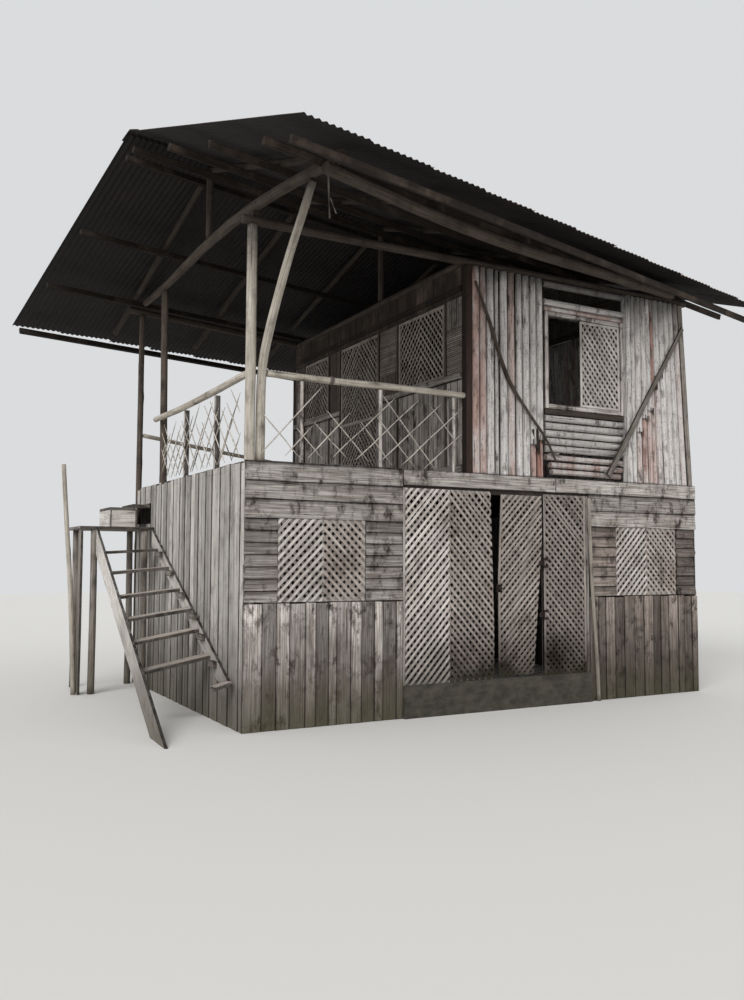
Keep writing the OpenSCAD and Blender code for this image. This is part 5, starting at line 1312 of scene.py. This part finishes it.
# Twine that ties the front rail to its end post, in turns round the rail
twine = {"x": 0.9, "turns": 4, "pitch": 0.012, "radius": 0.0055, "round": 0.043, "railY": -0.03,
         "railZ": 3.693}
rng, bm = begin("twine")
for k in range(twine["turns"]):
    x = twine["x"] + twine["pitch"] * k
    pole(bm, [(x + 0.006 * math.sin(a), twine["railY"] + twine["round"] * math.cos(a),
               twine["railZ"] + twine["round"] * math.sin(a)) for a in (math.pi * n / 5 for n in range(11))],
         [twine["radius"]] * 11, rng, 0.1, 6, 0.03, 0.0, 0.0, 0)
done(bm, "railTwine", "deckTimber")

railPost = {"size": 0.058, "front": (0.56, 1.52, 2.5), "frontHigh": 0.88, "side": (0.96, 2.12),
            "sideHigh": 0.832}
size = railPost["size"]
rng, bm = begin("rail posts")
for x in railPost["front"]:
    plank(bm, facing((x - size / 2, -0.059, deckZ + fit), up, toFront), size, size, railPost["frontHigh"],
          rng, 0.85, wave=0.004, edge=0.006, bow=0.003)
for y in railPost["side"]:
    plank(bm, facing((-0.059, y + size / 2, deckZ + fit), up, toLeft), size, size, railPost["sideHigh"], rng,
          0.8, wave=0.004, edge=0.006, bow=0.003)
done(bm, "railPosts", "wallBoard", "rail_posts")

# Crossed sticks on two planes under each rail; those in front by their ends along the rail and over the deck
sticks = {
    "radius": 0.0075, "planes": (-0.0765, -0.066),
    "rising": (((0.08, 0.06), (0.8, 0.85)), ((0.36, 0.06), (0.71, 0.44)), ((0.63, 0.06), (1.13, 0.58)),
               ((0.92, 0.08), (1.7, 0.8)), ((1.2, 0.07), (2.01, 0.8)), ((1.5, 0.06), (2.31, 0.78)),
               ((1.78, 0.04), (2.62, 0.77)), ((2.08, 0.02), (2.59, 0.45))),
    "falling": (((0.1, 0.51), (0.53, 0.06)), ((0.5, 0.37), (0.81, 0.05)), ((0.71, 0.44), (1.1, 0.08)),
                ((0.86, 0.58), (1.37, 0.06)), ((1.27, 0.49), (1.66, 0.04)), ((1.46, 0.58), (1.97, 0.02)),
                ((1.54, 0.82), (2.24, 0.01)), ((2.14, 0.79), (2.56, 0.31))),
    "sidePitch": 0.235, "sideFoot": 0.03, "sideHigh": (0.5, 0.82), "sideEnds": (0.1, 3.08)}


def stickBar(bm, a, b, rng):
    a, b = Vector(a), Vector(b)
    axis = (b - a).normalized()
    across = axis.orthogonal().normalized()
    other = axis.cross(across)
    count = max(3, int((b - a).length / 0.12))
    phase = rng.uniform(0, 60)
    rings = []
    for k in range(count + 1):
        t = k / count
        r = sticks["radius"] * (0.35 if k in (0, count) else 1 - 0.2 * t)
        centre = a.lerp(b, t) + (across + other) * 0.006 * noise.noise((phase, t * 3, 0)) * (0 < k < count)
        rings.append([centre + (across * math.cos(c) + other * math.sin(c)) * r
                      for c in (2 * math.pi * i / 7 for i in range(7))])
    loft(bm, rings, rng.uniform(0.35, 0.6), None, True, 0, rng.uniform(0, 30))


rng, bm = begin("front sticks")
for ends, y in zip((sticks["rising"], sticks["falling"]), sticks["planes"]):
    for (xa, za), (xb, zb) in ends:
        stickBar(bm, (xa, y, deckZ + za), (xb, y, deckZ + zb), rng)
done(bm, "frontSticks", "stick", "front_sticks")

# Those at the side are cut off where the rail ends
rng, bm = begin("side sticks")
first, last = sticks["sideEnds"]
for way, x in zip((1, -1), sticks["planes"]):
    for k in range(-2, 14):
        start = first + sticks["sidePitch"] * k + rng.uniform(-0.03, 0.03)
        za, zb = sticks["sideFoot"], rng.uniform(*sticks["sideHigh"])
        ya, yb = (start, start + zb - za)[::way]
        if min(ya, yb) > last - 0.03 or max(ya, yb) < first + 0.15:
            continue
        for limit in (first, last):
            if (ya - limit) * (yb - limit) < 0:
                cut = za + (zb - za) * (limit - ya) / (yb - ya)
                if (ya < limit) == (limit == first):
                    ya, za = limit, cut
                else:
                    yb, zb = limit, cut
        if math.hypot(yb - ya, zb - za) > 0.2:
            stickBar(bm, (x, ya, deckZ + za), (x, yb, deckZ + zb), rng)
done(bm, "sideSticks", "stick", "side_sticks")

# A box step and a board step over it, on the landing: place, face and size of each board, tone, material
steps = {"x": (leftX - 0.5403, leftX - 0.1703), "y": (landingY + 0.26, landingY + 0.9), "high": 0.27}
(x0, x1), (y0, y1), z, high = steps["x"], steps["y"], landingZ + fit, steps["high"]
rng, bm = begin("steps")
for at, width, thick, length, tone, material in (
        (facing((x0, y0, z + high - 0.001), toRear, up), x1 - x0, 0.03, y1 - y0, 0.7, 0),
        (facing((x0, y0, z), toRear, toLeft), high - 0.033, 0.025, y1 - y0, 0.95, 1),
        (facing((x1, y1, z), toFront, toRight), high - 0.033, 0.025, y1 - y0, 0.5, 0),
        (facing((x1 - 0.026, y0, z), toLeft, toFront), high - 0.033, 0.025, x1 - x0 - 0.052, 0.9, 1),
        (facing((x0 + 0.026, y1, z), toRight, toRear), high - 0.033, 0.025, x1 - x0 - 0.052, 0.6, 0),
        (facing((x1 - 0.06, y0, z + high + 0.0493), toRear, up), 0.23, 0.048, y1 - y0, 0.45, 0)):
    plank(bm, at, width, thick, length, rng, tone, material=material)
done(bm, "upperSteps", "deckTimber sideBoard", "upper_steps")

rng, bm = begin("landing plank")
plank(bm, facing((landingX + 0.026, landingY + 0.21, 0), up, toLeft), 0.19, 0.03, 2.12, rng, 0.3, wave=0.01,
      ragged=0.03, edge=0.004)
done(bm, "landingPlank", "deckTimber", "landing_plank")
print("veranda")

# Materials of the pieces that stay as they are
plainSlots = {"grey_boards": "shadedSolidTimber", "round_poles": "shadedSolidTimber", "rough_timber": "shadedSolidTimber",
              "dark_timber": "darkPost", "bamboo": "culm", "rusted_sheet": "sheet", "hinge_iron": "iron",
              "sill_concrete": "concrete"}
for part in frame["record"]["subparts"]:
    mesh = frame["nodes"][part["node"]].data
    mesh.materials.clear()
    mesh.materials.append(mats[plainSlots[part["material_slot"]]])

# Floor, camera and light, as in the photo: a bright overcast sky and a weak sun from the left
studio = {"floor": "#d2d0cc", "floorRough": 0.9, "floorHalf": 40, "lens": 32.41,
          "place": (-3.339, -8.755, 1.743), "heading": -28.666, "tilt": 93.843, "roll": 0.202,
          "sky": "#eef0f2", "skyStrength": 0.82, "sun": 1.9, "sunAngle": 0.6, "sunTilt": 50,
          "sunHeading": -48}
scene = bpy.context.scene
floorMesh = bpy.data.meshes.new("floor")
grid = bmesh.new()
bmesh.ops.create_grid(grid, x_segments=1, y_segments=1, size=studio["floorHalf"])
grid.to_mesh(floorMesh)
grid.free()
floor = bpy.data.objects.new("floor", floorMesh)
scene.collection.objects.link(floor)
floorMat = bpy.data.materials.new("floor")
floorMat.use_nodes = True
shader = floorMat.node_tree.nodes["Principled BSDF"]
shader.inputs["Base Color"].default_value = srgb(studio["floor"])
shader.inputs["Roughness"].default_value = studio["floorRough"]
floorMesh.materials.append(floorMat)

camera = bpy.data.objects.new("camera", bpy.data.cameras.new("camera"))
scene.collection.objects.link(camera)
scene.camera = camera
camera.data.lens = studio["lens"]
camera.data.clip_end = 200
camera.matrix_world = (Matrix.Translation(studio["place"])
                       @ Matrix.Rotation(math.radians(studio["heading"]), 4, "Z")
                       @ Matrix.Rotation(math.radians(studio["tilt"]), 4, "X")
                       @ Matrix.Rotation(math.radians(studio["roll"]), 4, "Z"))

world = bpy.data.worlds.new("world")
scene.world = world
world.use_nodes = True
background = world.node_tree.nodes["Background"]
background.inputs["Color"].default_value = srgb(studio["sky"])
background.inputs["Strength"].default_value = studio["skyStrength"]
lamp = bpy.data.objects.new("key", bpy.data.lights.new("key", "SUN"))
lamp.data.energy = studio["sun"]
lamp.data.angle = studio["sunAngle"]
lamp.rotation_euler = (math.radians(studio["sunTilt"]), 0, math.radians(studio["sunHeading"]))
scene.collection.objects.link(lamp)
scene.view_settings.view_transform = "Standard"
print("floor, camera and light")
